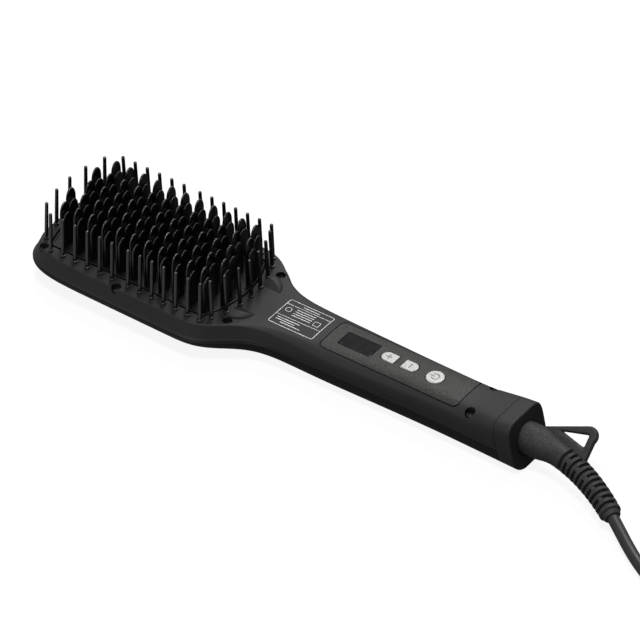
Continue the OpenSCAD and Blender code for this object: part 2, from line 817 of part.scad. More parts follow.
// Children stand at a pin's foot, upright along the leaning pin.
module pin_at(p, dir) {
    tilt = atan2(pin_lean, pin_h);
    translate([p[0], p[1], deck_z]) rotate([0, 0, atan2(dir[1], dir[0])]) rotate([0, -tilt, 0]) children();
}

module pin_places() {
    both_sides() for (x = side_pins()) pin_at([x, half_pad + pin_off], [0, 1]) children();
    for (k = [-0.87, -0.435, 0, 0.435, 0.87]) let (y = k * half_pad)
        pin_at([-end_pin(y, pad_r_tip, pad_tip), y], [-1, y / 60]) children();
    for (k = [-0.917, -0.632, -inner_pin, 0, inner_pin, 0.632, 0.917]) let (y = k * half_pad)
        pin_at([end_pin(y, pad_r_handle, pad_handle), y], [1, y / 50]) children();
}

module pin_hole() {
    translate([0, 0, -wall - 1]) cylinder(h = wall + 2, d = pin_d + 0.2, $fn = 16);
}

module pin() {
    foot = wall + pin_bar_t / 2;
    collar_lift = 0.08;
    translate([0, 0, -foot]) cylinder(h = foot + pin_h - pin_d / 2, d = pin_d, $fn = 16);
    translate([0, 0, pin_h - pin_d / 2]) sphere(d = pin_d, $fn = 16);
    translate([0, 0, collar_lift]) cylinder(h = 1.2 - collar_lift, d = pin_d + 0.7, $fn = 16);
}

// Trims what lies under the deck to the inside of the upper shell.
module inside_crown() {
    intersection() {
        children();
        upper_body(body_us, true, wall, 1, [0, 2, 6, 11]);
    }
}

module guard_pins() {
    color("#1a1a1a") placed() {
        pin_places() pin();
        difference() {
            inside_crown() translate([0, 0, deck_z - wall - pin_bar_t]) linear_extrude(pin_bar_t) difference() {
                pad_shape(-pin_off - 1.6);
                pad_shape(-pin_off + 1.4);
            }
            both_sides() for (p = head_screw_at) post(p, boss_d + 2 * boss_gap, 0, deck_z);
        }
    }
}

module heating_element() {
    color("#d9d4c8") placed() bar(-30, 30, pad_w - 16.6, 1, press_top, element_top);
}

module pressing_plate() {
    color("#b5b7ba") placed() difference() {
        bar(-33, 33, pad_w - 12.6, 2, mica_top, press_top);
        post([0, -4], 3, mica_top - 1, press_top + 1);
    }
}

fuse_d = 3.6;

module insulation_sheet() {
    color("#cdbf9c") placed() difference() {
        bar(-35, 35, pad_w - 10.6, 2, mica_top - mica_t, mica_top);
        bar(-9, 9, fuse_d + 1.4, 1, 0, deck_z);
    }
}

module thermal_fuse() {
    color("#c6c9cc") placed() translate([-6, 0, mica_top - fuse_d / 2]) rotate([0, 90, 0])
        cylinder(h = 12, d = fuse_d);
}

module thermistor() {
    color("#7a2f22") placed() translate([20, -8, mica_top - mica_t - 1.2]) {
        sphere(d = 2.4);
        cylinder(h = 1.2, d = 1);
    }
}

// Tray that carries the heated pad, clamped under the deck by its flange.
module heater_tray() {
    flange_top = deck_z - wall - pin_bar_t;
    color("#2b2b2b") placed() difference() {
        union() {
            translate([0, 0, tray_z]) linear_extrude(tray_t) pad_shape(pad_gap + 0.1);
            translate([0, 0, tray_z]) linear_extrude(plate_under - tray_z) difference() {
                pad_shape(pad_gap + 0.1);
                pad_shape(pad_gap + 0.1 + tray_wall);
            }
            inside_crown() translate([0, 0, flange_top - clamp_t]) linear_extrude(clamp_t) difference() {
                pad_shape(-pin_off - 1.6);
                pad_shape(pad_gap + 0.5);
            }
            both_sides() for (u = [-28, 0, 28]) post([u, 14], 5, tray_z, mica_top - mica_t);
        }
        both_sides() for (p = head_screw_at) post(p, boss_d + 2 * boss_gap, 0, deck_z);
        translate([40, -4, tray_z + tray_t]) cube([20, 8, 3.4]);
    }
}

// ---- ion outlets ----

module outlet_hoods() {
    color("#303030") placed() both_sides() difference() {
        hood_solid();
        translate([hood_u - 1, needle_at[1] - 1.4, deck_z + 0.15]) cube([4.6, 4, 0.9]);
        post(needle_at, needle_d + 0.4, deck_z - 1, deck_z + 0.5);
    }
}

module ion_needles() {
    color("#c9c9c9") placed() both_sides() {
        post(needle_at, needle_d, deck_z - wall - 1.5, deck_z + 0.6);
        translate([hood_u + 0.4, needle_at[1], deck_z + 0.6]) rotate([0, 90, 0])
            cylinder(h = needle_at[0] - hood_u - 0.4, d = needle_d);
    }
}

module ion_generator() {
    color("#1d1d22") placed() bar(ion_u[0], ion_u[1], ion_w, 1, ion_z, ion_z + ion_h);
}

module ion_leads() {
    z = deck_z - wall - 1.1;
    color("#b02a2a") placed() both_sides()
        tube([[needle_at[0] + 0.6, needle_at[1], z], [58, 12, z - 1], [61, 9, 12.5], [64, 5.2, 9.2],
            [ion_u[0], 2.4, 7.2]], 0.7, 6, [1, 0, 0], [1, 0, 0]);
}

module heater_leads() {
    z = press_top + 0.9;
    color("#e6e2d8") placed() both_sides()
        tube([[30, 2.2, z], [36, 2.2, z], [41, 2.2, 12.6], [45, 2.2, 10.6], [50, 2.2, 10.3],
            [ion_u[1], 2.2, 10.3], [mains_u[0] + 4, 2.2, 9.6]], 0.9, 6, [1, 0, 0], [1, 0, 0]);
}

// ---- fasteners ----

module screw(p) {
    z = screw_top(p) - well_deep;
    difference() {
        union() {
            post(p, screw_head_d, z, z + screw_head_h);
            post(p, screw_d, screw_end_z, z + eps);
        }
        for (a = [0, 90]) translate([p[0], p[1], z + screw_head_h]) rotate([0, 0, a])
            cube([2.6, 0.6, 1.4], center = true);
    }
}

module head_screws() {
    color("#1b1b1b") placed() both_sides() for (p = head_screw_at) screw(p);
}

module handle_screws() {
    color("#1b1b1b") placed() both_sides() screw(tail_screw_at);
}

module board_screws() {
    color("#8f9195") placed() both_sides() for (p = board_post) {
        post(p, 3.4, board_top, board_top + 1.2);
        post(p, 1.6, board_z - 5, board_top + eps);
    }
}

// ---- swivel ----

module swivel_socket() {
    color("#3c3c3c") placed() difference() {
        along_u(socket_u[0], socket_u[1], socket_d);
        along_u(socket_u[0] - 1, socket_u[1] + 1, journal_d + 2 * journal_gap);
    }
}

module swivel_clip() {
    u1 = socket_u[0] - play;
    color("#a8abaf") placed() difference() {
        along_u(u1 - clip_t, u1, clip_d);
        along_u(u1 - clip_t - 1, u1 + 1, journal_d);
    }
}

module slip_rings() {
    color("#b8923a") placed() for (u = slip_u) difference() {
        along_u(u, u + slip_w, slip_d);
        along_u(u - 1, u + slip_w + 1, stub_d);
    }
}

module contact_springs() {
    color("#b87333") placed() {
        translate([slip_u[0] - 1, contact_y - 1, contact_z]) cube([contact_l, 3, 1.6]);
        for (u = slip_u) translate([u, contact_y, contact_z]) cube([slip_w, 0.4, swivel_z + 2 - contact_z]);
    }
}

module supply_leads() {
    color("#3b5ea8") placed() for (k = [0, 1])
        tube([[slip_u[0] - 1, contact_y - 0.2 + 1.5 * k, contact_z + 0.8],
            [slip_u[0] - 5, 0.7 + 1.7 * k, mains_z + 0.8], [mains_u[1], 0.7 + 1.7 * k, mains_z + 0.8]],
            0.7, 6, [-1, 0, 0], [-1, 0, 0]);
}

// ---- cord guard ----

function guard_y(x) = x <= guard_bend[0] ? 0 : -guard_bend[1] * pow((x - guard_bend[0]) / guard_bend[3], 1.8);
function guard_dz(x) = x <= guard_bend[0] ? 0 : guard_bend[2] * pow((x - guard_bend[0]) / guard_bend[3], 2);
function guard_point(x) = [x, guard_y(x), swivel_z - guard_dz(x)];
function guard_dir(x) = unit(guard_point(x + 0.5) - guard_point(x - 0.5));

rib_x0 = guard_end_x - 2 - ribs * rib_pitch * 0.86;
elbow_rings = [[face_x + 1, elbow_d / 2], [face_x + 5, elbow_d / 2 - 0.1], [face_x + 9, elbow_d / 2 - 0.6],
    [face_x + 13, elbow_d / 2 - 1.4], [face_x + 16.5, rib_d / 2 + 0.1], [rib_x0 - 1, rib_d / 2]];
// each rib: out, along, in and along, as shares of the pitch and of the ribs' thickness
function rib_rings(i) = let (x = rib_x0 + i * rib_pitch * 0.86, p = rib_pitch * 0.86, k = 1 - 0.012 * i,
        r = rib_d / 2 * k, core = rib_d / 2 * k - 1.15)
    [[x, core], [x + 0.36 * p, core], [x + 0.44 * p, r], [x + 0.92 * p, r]];
guard_rings = concat(elbow_rings, [for (i = [0:ribs - 1]) each rib_rings(i)],
    [[guard_end_x - 1.7, rib_d / 2 - 1.7], [guard_end_x, cord_d / 2 + 1]]);

// Loop for hanging, a flat triangle that leans up off the bend.
loop_c = guard_point(face_x + 17.16);
loop_lean = 40;
loop_t = 3.2;
loop_bar = 3.4;
loop_corner = 4.6;
function loop_frame() = let (a = guard_dir(face_x + 20.66), s = unit(cross([0, 0, 1], a)), up = cross(a, s),
        e = cos(loop_lean) * s + sin(loop_lean) * up, n = cross(a, e))
    [a, e, n];

module in_loop_plane() {
    f = loop_frame();
    multmatrix([[f[0][0], f[1][0], f[2][0], loop_c[0]], [f[0][1], f[1][1], f[2][1], loop_c[1]],
        [f[0][2], f[1][2], f[2][2], loop_c[2]], [0, 0, 0, 1]]) children();
}

module loop_outline(in) {
    r = max(0.6, loop_corner - in);
    a = atan2(13.4, 21.8);
    polygon(concat(
        in > 0 ? [[-5.2, 9.1]] : [[-16, 3.4], [-15, 5.4]],
        arc([6.6, 14.4], r, 90 + a, 0 - 12, 8),
        in > 0 ? [[8.6, 9.1]] : [[13.2, 5], [13.2, 3.4]]));
}

module cord_boot() {
    color("#232323") {
        placed() {
            along_u(stub_u, socket_u[0] - play - clip_t + eps, stub_d);
            along_u(socket_u[0] - play - clip_t, socket_u[1] + play + eps, journal_d);
            along_u(socket_u[1] + play, face_u + 1 + eps, elbow_d);
        }
        tube([for (g = guard_rings) guard_point(g[0])], [for (g = guard_rings) g[1]], 14, [1, 0, 0],
            guard_dir(guard_end_x));
        in_loop_plane() translate([0, 0, -loop_t / 2]) linear_extrude(loop_t) difference() {
            loop_outline(0);
            loop_outline(loop_bar);
        }
    }
}

// ---- cord ----

// The coil spirals in on the lower layer and out on the upper one.
layer_turns = coil_turns / 2;
coil_out = coil_in + coil_pitch * layer_turns;
function coil_radius(t) = coil_in + coil_pitch * (abs(t - layer_turns) < 0.25 ?
    0.125 + 2 * pow(t - layer_turns, 2) : abs(t - layer_turns));
function coil_lift(t) = coil_pitch * ramp((t - layer_turns + 0.25) / 0.5);
function coil_point(t) = let (a = 360 * t - 90, r = coil_radius(t))
    [coil_c[0] + r * cos(a), coil_c[1] + r * sin(a), coil_z + coil_lift(t)];
coil_steps = round(coil_turns * coil_rings);
coil_path = concat([coil_point(0) - [cord_d, 0, 0]],
    [for (i = [0:coil_steps]) coil_point(coil_turns * i / coil_steps)],
    [coil_point(coil_turns) + [0, cord_d, 0]]);

lead_dir = guard_dir(guard_end_x);

lead_path = concat([guard_point(guard_end_x)], lead_route, [coil_path[0]]);

module cord_lead() {
    color("#1d1d1d") tube(lead_path, cord_d / 2, 8, lead_dir, [1, 0, 0]);
}

module cord_coil() {
    color("#1d1d1d") tube(coil_path, cord_d / 2, 6, [1, 0, 0], [0, 1, 0]);
}

// Least gap of the coil to itself, taken between points at least half a turn apart.
coil_gap = min([for (i = [0:coil_steps], j = [i + 12:1:coil_steps])
    if (j > i + 12) norm(coil_path[i + 1] - coil_path[j + 1])]) - cord_d;
echo(coil_gap = coil_gap);
echo(cord_length = route_length(lead_path) + route_length(coil_path) + route_length(tail_path));

tail_path = concat([coil_path[len(coil_path) - 1]], tail_route);

module cord_tail() {
    color("#1d1d1d") tube(tail_path, cord_d / 2, 8, [0, 1, 0], [-1, 0, 0]);
}

tie_t = 0.5;
tie_w = 5;

module cord_tie() {
    r0 = coil_in - cord_d / 2 - 0.4;
    r1 = coil_out + cord_d / 2 + 0.4;
    h = coil_z + coil_pitch + cord_d / 2 + 0.2;
    color("#303030") translate([coil_c[0] - r1 - tie_t, coil_c[1] - tie_w / 2, 0]) difference() {
        cube([r1 - r0 + 2 * tie_t, tie_w, h + tie_t]);
        translate([tie_t, -1, tie_t]) cube([r1 - r0, tie_w + 2, h - tie_t]);
    }
}

module plug_body() {
    color("#1c1c1c") translate([plug_at[0], plug_at[1], plug_z]) rotate([0, -90, 0]) hull() {
        cylinder(h = 2, d = cord_d + 2.6);
        translate([0, 0, 11]) linear_extrude(plug_l - 11) square([plug_h - 0.6, plug_w], center = true);
        translate([0, 0, 13]) linear_extrude(plug_l - 16) square([plug_h, plug_w + 0.6], center = true);
    }
}

module plug_blades() {
    color("#c8c8c4") both_sides_of_plug() translate([plug_at[0] - plug_l - blade_l, plug_at[1] + blade_space / 2
        - blade_t / 2, plug_z - blade_h / 2]) cube([blade_l, blade_t, blade_h]);
}

module both_sides_of_plug() {
    children();
    translate([0, 2 * plug_at[1], 0]) mirror([0, 1, 0]) children();
}

top_shell();
bottom_shell();
end_cap();
control_panel();
display_window();
display_module();
plus_button();
minus_button();
power_button();
tact_switches();
control_board();
power_board();
heater_plate();
leaf_comb();
guard_pins();
heating_element();
pressing_plate();
insulation_sheet();
heater_tray();
thermistor();
thermal_fuse();
ion_generator();
ion_needles();
ion_leads();
outlet_hoods();
head_screws();
handle_screws();
board_screws();
heater_leads();
supply_leads();
swivel_socket();
swivel_clip();
slip_rings();
contact_springs();
cord_boot();
cord_lead();
cord_coil();
cord_tail();
cord_tie();
plug_body();
plug_blades();
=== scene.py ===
"""Looks of a heated hair straightening brush that lies on its back, with its cord.

Everything is in metres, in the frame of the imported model: the floor at z = 0, the handle along +X,
the bristles up. The shapes below are worked out in millimetres, as a maker would draw them.
Lengths along the handle, called u, are counted from the middle of the bristle pad.
"""

import json
import math
from functools import partial

import bmesh
import bpy
import numpy as np
from mathutils import Matrix, Vector


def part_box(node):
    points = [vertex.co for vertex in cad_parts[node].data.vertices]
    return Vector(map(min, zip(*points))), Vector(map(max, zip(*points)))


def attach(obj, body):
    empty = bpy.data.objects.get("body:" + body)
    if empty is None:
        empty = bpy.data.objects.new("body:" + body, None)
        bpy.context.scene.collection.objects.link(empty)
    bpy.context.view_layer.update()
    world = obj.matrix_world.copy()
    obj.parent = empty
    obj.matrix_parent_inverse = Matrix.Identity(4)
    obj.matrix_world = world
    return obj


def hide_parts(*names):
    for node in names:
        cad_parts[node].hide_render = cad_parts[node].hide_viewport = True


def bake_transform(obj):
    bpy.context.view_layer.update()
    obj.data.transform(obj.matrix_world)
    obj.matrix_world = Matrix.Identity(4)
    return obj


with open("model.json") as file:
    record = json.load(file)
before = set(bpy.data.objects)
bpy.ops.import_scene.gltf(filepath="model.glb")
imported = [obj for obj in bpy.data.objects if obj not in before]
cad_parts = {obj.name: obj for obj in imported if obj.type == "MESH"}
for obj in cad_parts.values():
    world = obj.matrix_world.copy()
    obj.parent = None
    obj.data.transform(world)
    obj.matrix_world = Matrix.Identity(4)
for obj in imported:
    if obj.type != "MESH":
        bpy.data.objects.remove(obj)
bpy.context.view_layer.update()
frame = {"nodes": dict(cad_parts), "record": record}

MM = 0.001
BRUSH = "brush"
brush_low, brush_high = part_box("top_shell")
tail_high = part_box("end_cap")[1]

# ---- sizes of the brush, in millimetres ----

BODY_L = (tail_high.x - brush_low.x) / MM
TIP_L = 59.0                        # from the pad's middle to the head's tip
PAD_X = TIP_L + brush_low.x / MM    # where the pad's middle lies along X
TAIL_U = BODY_L - TIP_L             # where the leaning end face would meet the floor
HEAD_W = (brush_high.y - brush_low.y) / MM
NECK_W, GRIP_W, TAIL_FLARE = 31.8, 26.8, 0.5
# Heights of the head's deck, of the parting line, and of the handle's top at three places.
DECK_Z, SEAM_Z, GRIP_Z, BUTTON_Z, TAIL_Z = 20.0, 12.0, 21.15, 22.75, 26.1
WALL, DRAFT, EDGE_R, TIP_SQUARE = 2.2, 3.0, 0.8, 4.7
SHOULDER_U, NECK_U = 25.5, 132.5    # where the head starts to narrow, and where only the handle is left
TIP_C = -8.0                        # middle of the round tip
TIP_R = TIP_L + TIP_C

# The pad's opening. Its ends are arcs, towards the handle (1) and towards the tip (-1).
PAD_W, PAD_CORNER, PAD_GAP = 50.6, 3.5, 1.0
PAD_END_R = {1: 50.0, -1: 65.0}
PAD_REACH = {1: 49.6, -1: 52.0}

# Teeth and pins: heights over the deck, widths across the handle, thicknesses along it.
TOOTH_PITCH, ROW_PITCH, ROW_TEETH, ROWS = 8.2, 9.6, 11, 5
LEAF_H, LEAF_W, LEAF_T, LEAF_ARCH = 24.4, 6.8, 0.9, 6.0
FIN_H, FIN_W, FIN_T, FIN_ARCH = 18.5, 6.4, 1.2, 4.9
TOOTH_GAP, OUTER_DROP, LEAF_EDGE_R, FIN_EDGE_R = 0.1, 0.5, 0.34, 0.28
PIN_H, PIN_D, PIN_OFF, PIN_LEAN = 21.3, 1.9, 2.8, 1.0

PANEL_L, PANEL_W, PANEL_T, PANEL_GAP, PANEL_CORNER = 76.5, 21.0, 1.0, 0.2, 2.5
PANEL_U = TAIL_U - 35.0 - PANEL_L
DISPLAY_U, DISPLAY_L, DISPLAY_W, DISPLAY_CORNER = PANEL_U + 6.8, 18.1, 9.3, 0.6
KEY_W, KEY_L, KEY_SPACE, KEY_PROUD, KEY_GAP = 6.2, 7.9, 3.8, 0.5, 0.2
KEY_U = DISPLAY_U + DISPLAY_L + 3.7 + KEY_L + KEY_SPACE / 2
POWER_D = 8.8
POWER_U = KEY_U + KEY_SPACE / 2 + KEY_L + 5.2 + POWER_D / 2

END_LEAN, CAP_L, SWIVEL_Z, OUTLET_D = 0.22, 8.7, 13.0, 16.0
SCREW_AT = [(-48.2, 27.5), (-2.3, 31.1), (54.0, 20.5), (TAIL_U - 28.0, 9.7)]
WELL_D, WELL_DEEP, SCREW_HOLE_D = 4.8, 2.6, 2.4
SEAM_VEE = 0.7              # depth of the small vee along the parting line
GROOVE = 0.28               # the panel stands this far back from its recess and from the display
KEY_GROOVE = KEY_GAP + 0.2  # gap between a key and the panel's edge round it
LONG = 9.0                  # how far a cutter reaches past the face that it goes through
FACE_X = TAIL_U - END_LEAN * SWIVEL_Z + PAD_X
CORD_D = 5.6

# ---- the photograph's camera, solved from the straight rows of teeth ----

CAMERA_AT = Vector((0.9190, -1.2325, 1.2825))
CAMERA_TURN, CAMERA_DOWN = math.radians(36.22), math.radians(39.46)
FOCAL_PIXELS, PHOTO_PIXELS, SENSOR = 4343.0, 640.0, 36.0


def new_object(name, data):
    made = bpy.data.objects.new(name, data)
    bpy.context.scene.collection.objects.link(made)
    return made


def make_camera():
    data = bpy.data.cameras.new("camera")
    data.sensor_width = SENSOR
    data.lens = FOCAL_PIXELS / PHOTO_PIXELS * SENSOR
    data.clip_end = 20
    camera = new_object("camera", data)
    across = math.cos(CAMERA_DOWN)
    ahead = Vector((-math.sin(CAMERA_TURN) * across, math.cos(CAMERA_TURN) * across, -math.sin(CAMERA_DOWN)))
    camera.location = CAMERA_AT
    camera.rotation_euler = ahead.to_track_quat("-Z", "Y").to_euler()
    bpy.context.scene.camera = camera


# ---- cord route, in millimetres, as the solids have it ----
# The guard runs straight out of the end cap and then bends away by GUARD_SIDE and down by GUARD_DROP.

GUARD_FROM, GUARD_END = FACE_X + 6.66, FACE_X + 56.66
GUARD_SIDE, GUARD_DROP, GUARD_SPAN = 16.3, 4.6, 48.0
LEAD_ROUTE = [(194.5, -21.7, 6.6), (202, -26.5, 5), (210, -31.3, 3.9), (219, -36.1, 3.4), (229, -40.8, 3.4),
              (239, -45, 3.4), (246, -47.6, 3.4)]
# The coil: middle, inner radius, pitch, turns, height of the lower layer, and points for each turn.
COIL_AT, COIL_IN, COIL_PITCH, COIL_TURNS, COIL_Z, COIL_RINGS = (258.0, -4.0), 22.5, 6.2, 7.25, 3.4, 24
TAIL_ROUTE = [(303.4, 10, 9.3), (302.8, 21, 7.4), (300.2, 33.5, 5), (294, 45, 3.6), (284.5, 53.4, 3.4),
              (274, 57.7, 3.9), (264, 59, 4.7), (258, 59, 4.8)]
PLUG_AT, PLUG_L, PLUG_W, PLUG_H = (258.0, 59.0, 4.8), 30.0, 22.6, 9.4
BLADE_L, BLADE_H, BLADE_T, BLADE_SPACE, BLADE_R = 17.0, 6.3, 1.5, 12.7, 2.0
STRAP_W, STRAP_T = 5.0, 0.4


def ramp(t):
    t = np.clip(t, 0, 1)
    return t * t * (3 - 2 * t)


def guard_point(x):
    along = max(0.0, (x - GUARD_FROM) / GUARD_SPAN)
    return Vector((x, -GUARD_SIDE * along ** 1.8, SWIVEL_Z - GUARD_DROP * along ** 2))


def guard_direction(x):
    return (guard_point(x + 0.5) - guard_point(x - 0.5)).normalized()


def coil_point(t):
    """A point of the coil, which winds in on the lower layer and out on the upper one."""
    middle = COIL_TURNS / 2
    off = t - middle
    wide = 0.125 + 2 * off * off if abs(off) < 0.25 else abs(off)
    radius = COIL_IN + COIL_PITCH * wide
    lift = COIL_PITCH * float(ramp((off + 0.25) / 0.5))
    turn = math.tau * t - math.pi / 2
    return (COIL_AT[0] + radius * math.cos(turn), COIL_AT[1] + radius * math.sin(turn), COIL_Z + lift)


def cord_route():
    steps = round(COIL_TURNS * COIL_RINGS)
    coil = [coil_point(COIL_TURNS * i / steps) for i in range(steps + 1)]
    into = (coil[0][0] - CORD_D, coil[0][1], coil[0][2])
    out = (coil[-1][0], coil[-1][1] + CORD_D, coil[-1][2])
    return [tuple(guard_point(GUARD_END)), *LEAD_ROUTE, into, *coil, out, *TAIL_ROUTE]


# ---- materials: one helper adds a node, and each finish has its own function ----


def hex_colour(code):
    """An sRGB hex value as linear red, green, blue and alpha."""
    srgb = [int(code[i:i + 2], 16) / 255 for i in (1, 3, 5)]
    return [*[c / 12.92 if c <= 0.04045 else ((c + 0.055) / 1.055) ** 2.4 for c in srgb], 1.0]


def add(tree, kind, sockets=None, **settings):
    """Adds a node with its settings. A socket's value is a constant, or the output socket that feeds it."""
    node = tree.nodes.new(kind)
    for name, value in settings.items():
        setattr(node, name, value)
    for name, value in (sockets or {}).items():
        socket = node.inputs[name]
        if isinstance(value, bpy.types.NodeSocket):
            tree.links.new(value, socket)
        else:
            socket.default_value = value
    return node


def maths(tree, operation, *values):
    return add(tree, "ShaderNodeMath", dict(enumerate(values)), operation=operation).outputs[0]


def new_material(name, **constants):
    """A material with one Principled shader, whose constant sockets are set by their names."""
    material = bpy.data.materials.new(name)
    material.use_nodes = True
    tree = material.node_tree
    tree.nodes.clear()
    shader = add(tree, "ShaderNodeBsdfPrincipled", {k.replace("_", " "): v for k, v in constants.items()})
    add(tree, "ShaderNodeOutputMaterial", {"Surface": shader.outputs["BSDF"]})
    place = add(tree, "ShaderNodeTexCoord").outputs["Object"]
    return material, tree, shader, place


def grain(tree, place, size_mm, detail=2.0, stretch=(1, 1, 1)):
    """Noise whose grains are about size_mm across."""
    scale = [s / (size_mm * MM) for s in stretch]
    spread = add(tree, "ShaderNodeMapping", {"Vector": place, "Scale": scale}).outputs["Vector"]
    return add(tree, "ShaderNodeTexNoise", {"Vector": spread, "Scale": 1.0, "Detail": detail})


def shades(tree, value, stops):
    """A colour ramp over a value: stops are (position, hex colour)."""
    made = add(tree, "ShaderNodeValToRGB", {"Fac": value})
    elements = made.color_ramp.elements
    while len(elements) < len(stops):
        elements.new(0.5)
    for element, (position, code) in zip(elements, stops):
        element.position = position
        element.color = hex_colour(code)
    return made.outputs["Color"]


def levels(tree, value, low, high, to_low, to_high):
    """Maps a value's range from low to high onto another range."""
    return add(tree, "ShaderNodeMapRange", {"Value": value, "From Min": low, "From Max": high,
                                            "To Min": to_low, "To Max": to_high}).outputs["Result"]


def bumped(tree, shader, height, depth_mm):
    bump = add(tree, "ShaderNodeBump", {"Height": height, "Distance": depth_mm * MM, "Strength": 1.0})
    tree.links.new(bump.outputs["Normal"], shader.inputs["Normal"])


def finished(made, colour, rough, height, depth_mm):
    """Feeds a material's shader with its colour, roughness and relief."""
    material, tree, shader, _ = made
    tree.links.new(colour, shader.inputs["Base Color"])
    tree.links.new(rough, shader.inputs["Roughness"])
    if depth_mm:
        bumped(tree, shader, height, depth_mm)
    return material


def moulded_plastic(name, dark, pale, rough, grain_mm=0.7, depth_mm=0.012, **constants):
    """Injection-moulded plastic with a spark-eroded face. The real grain is 0.1 mm and is drawn coarser,
    so that it shows. A slow drift in shade and gloss keeps a large face from looking flat."""
    made = new_material(name, IOR=1.5, **constants)
    _, tree, _, place = made
    fine = grain(tree, place, grain_mm).outputs["Fac"]
    drift = grain(tree, place, 14.0).outputs["Fac"]
    mixed = maths(tree, "ADD", fine, drift)
    colour = shades(tree, levels(tree, mixed, 0.6, 1.4, 0, 1), [(0, dark), (1, pale)])
    gloss = levels(tree, mixed, 0.6, 1.4, rough - 0.06, rough + 0.06)
    return finished(made, colour, gloss, fine, depth_mm)


def abs_shell_black():
    """Black ABS of the upper shell, satin matte: catches a broad soft sheen."""
    return moulded_plastic("ABS moulded black, spark-eroded", "#0f0f0f", "#161616", 0.5,
                           Specular_IOR_Level=0.2)


def abs_back_black_shaded():
    """Black ABS of the back, the same moulding as the upper shell, drawn darker and with weaker reflections:
    the darker colour is painted shade on the belly.
    """
    return moulded_plastic("ABS moulded black, back, painted shade", "#090909", "#0f0f0f", 0.5, Specular_IOR_Level=0.12)


def one_noise(name, size_mm, detail, stops, rough, depth_mm=0.0, stretch=(1, 1, 1), **constants):
    """A material whose shade, gloss and relief follow one noise. rough is its roughness where the noise is
    low and where it is high."""
    made = new_material(name, **constants)
    _, tree, _, place = made
    noise = grain(tree, place, size_mm, detail, stretch).outputs["Fac"]
    return finished(made, shades(tree, noise, stops), levels(tree, noise, 0.3, 0.7, *rough), noise, depth_mm)


def flecked(name, fleck_mm, drift_mm, ground, fleck, share, rough, depth_mm, **constants):
    """A ground that drifts slowly between two shades, with flecks where a fine noise is high. share is the
    noise's level where flecks start and where they are full, and how much they cover there."""
    made = new_material(name, **constants)
    _, tree, _, place = made
    fine = grain(tree, place, fleck_mm, 3.0).outputs["Fac"]
    drift = grain(tree, place, drift_mm).outputs["Fac"]
    base = shades(tree, drift, [(0.3, ground[0]), (0.7, ground[1])])
    cover = levels(tree, fine, share[0], share[1], 0, share[2])
    mix = add(tree, "ShaderNodeMix", {"Factor": cover, "A": base, "B": hex_colour(fleck)}, data_type="RGBA")
    return finished(made, mix.outputs["Result"], levels(tree, fine, 0.3, 0.7, *rough), fine, depth_mm)


def panel_flecked():
    """Dark grey lacquered panel with fine pale flecks, about 0.4 mm apart."""
    return flecked("Lacquered panel, fine pale flecks", 0.45, 9.0, ("#191817", "#1f1e1d"), "#66645f",
                   (0.56, 0.72, 0.55), (0.55, 0.4), 0.012, IOR=1.5, Specular_IOR_Level=0.2)


def grained_rubber():
    """Moulded rubber of the cord guard: dull, grey-black, with a pebbled skin that shows on the elbow."""
    return flecked("Moulded rubber, pebbled", 0.55, 6.0, ("#101010", "#161616"), "#4a4a4a",
                   (0.5, 0.75, 0.5), (0.72, 0.5), 0.035, IOR=1.52, Specular_IOR_Level=0.25)


def smoked_acrylic():
    """Smoked acrylic over the display: smooth and nearly black, with soft reflections."""
    return one_noise("Acrylic smoked, polished", 1.6, 4.0, [(0.35, "#08080a"), (0.7, "#0e0e11")], (0.1, 0.2),
                     IOR=1.49, Specular_IOR_Level=0.12)


def key_silver():
    """Keys in silver lacquer: pale, hardly shiny, with dark specks about 0.3 mm across."""
    return one_noise("Lacquered key, silver flake", 0.5, 4.0,
                     [(0.3, "#767676"), (0.46, "#999998"), (0.7, "#acacab")], (0.55, 0.38), 0.015,
                     Metallic=0.25, IOR=1.5)


def sign_ink():
    """Grey ink at the bottom of the engraved signs."""
    return moulded_plastic("Pad-printed grey ink", "#5a5a5a", "#6c6c6c", 0.6, 0.4)


def white_ink():
    """White pad-printed lines: matt, and a little thin where the ink broke."""
    return one_noise("Pad-printed white ink", 0.6, 3.0, [(0.3, "#9c9c9c"), (0.55, "#d2d2d2")], (0.7, 0.5),
                     IOR=1.45)


def coated_aluminium():
    """Die-cast aluminium under black non-stick coating: smooth, with a faint orange peel and a cool tint."""
    return one_noise("Die-cast aluminium, black non-stick coating", 1.3, 2.0,
                     [(0.3, "#07080a"), (0.7, "#0b0d0f")], (0.2, 0.26), 0.003,
                     IOR=1.5, Specular_IOR_Level=0.4)


def rim_highlight_metal():
    """The bead round the heated plate, in a paler bare-metal finish than the coated plate: a painted
    highlight along the bead's rounded edge.
    """
    return metal("Aluminium rim, painted highlight", "#26282a", "#303234", 0.3, 2.5, (0.1, 0.1, 1))


def nylon_black(name, dark, pale, rough):
    """Heat-proof nylon of leaves and pins: fine flow lines along the tooth, and a soft gloss."""
    return one_noise(name, 0.7, 2.0, [(0.3, dark), (0.7, pale)], (rough - 0.05, rough + 0.05), 0.002,
                     (1, 1, 0.12), IOR=1.53, Specular_IOR_Level=0.5)


def cord_vinyl():
    """Flexible PVC of the cord and plug: black, satin, with faint drawing marks."""
    return moulded_plastic("PVC flexible, satin black", "#0e0e0e", "#141414", 0.42, 1.2, 0.01,
                           Specular_IOR_Level=0.3)


def metal(name, dark, pale, rough, grain_mm=0.8, stretch=(1, 1, 1)):
    """Bare metal, brushed or drawn along one way by its stretched grain."""
    return one_noise(name, grain_mm, 3.0, [(0.3, dark), (0.7, pale)], (rough - 0.07, rough + 0.07), 0.006,
                     stretch, Metallic=1.0)


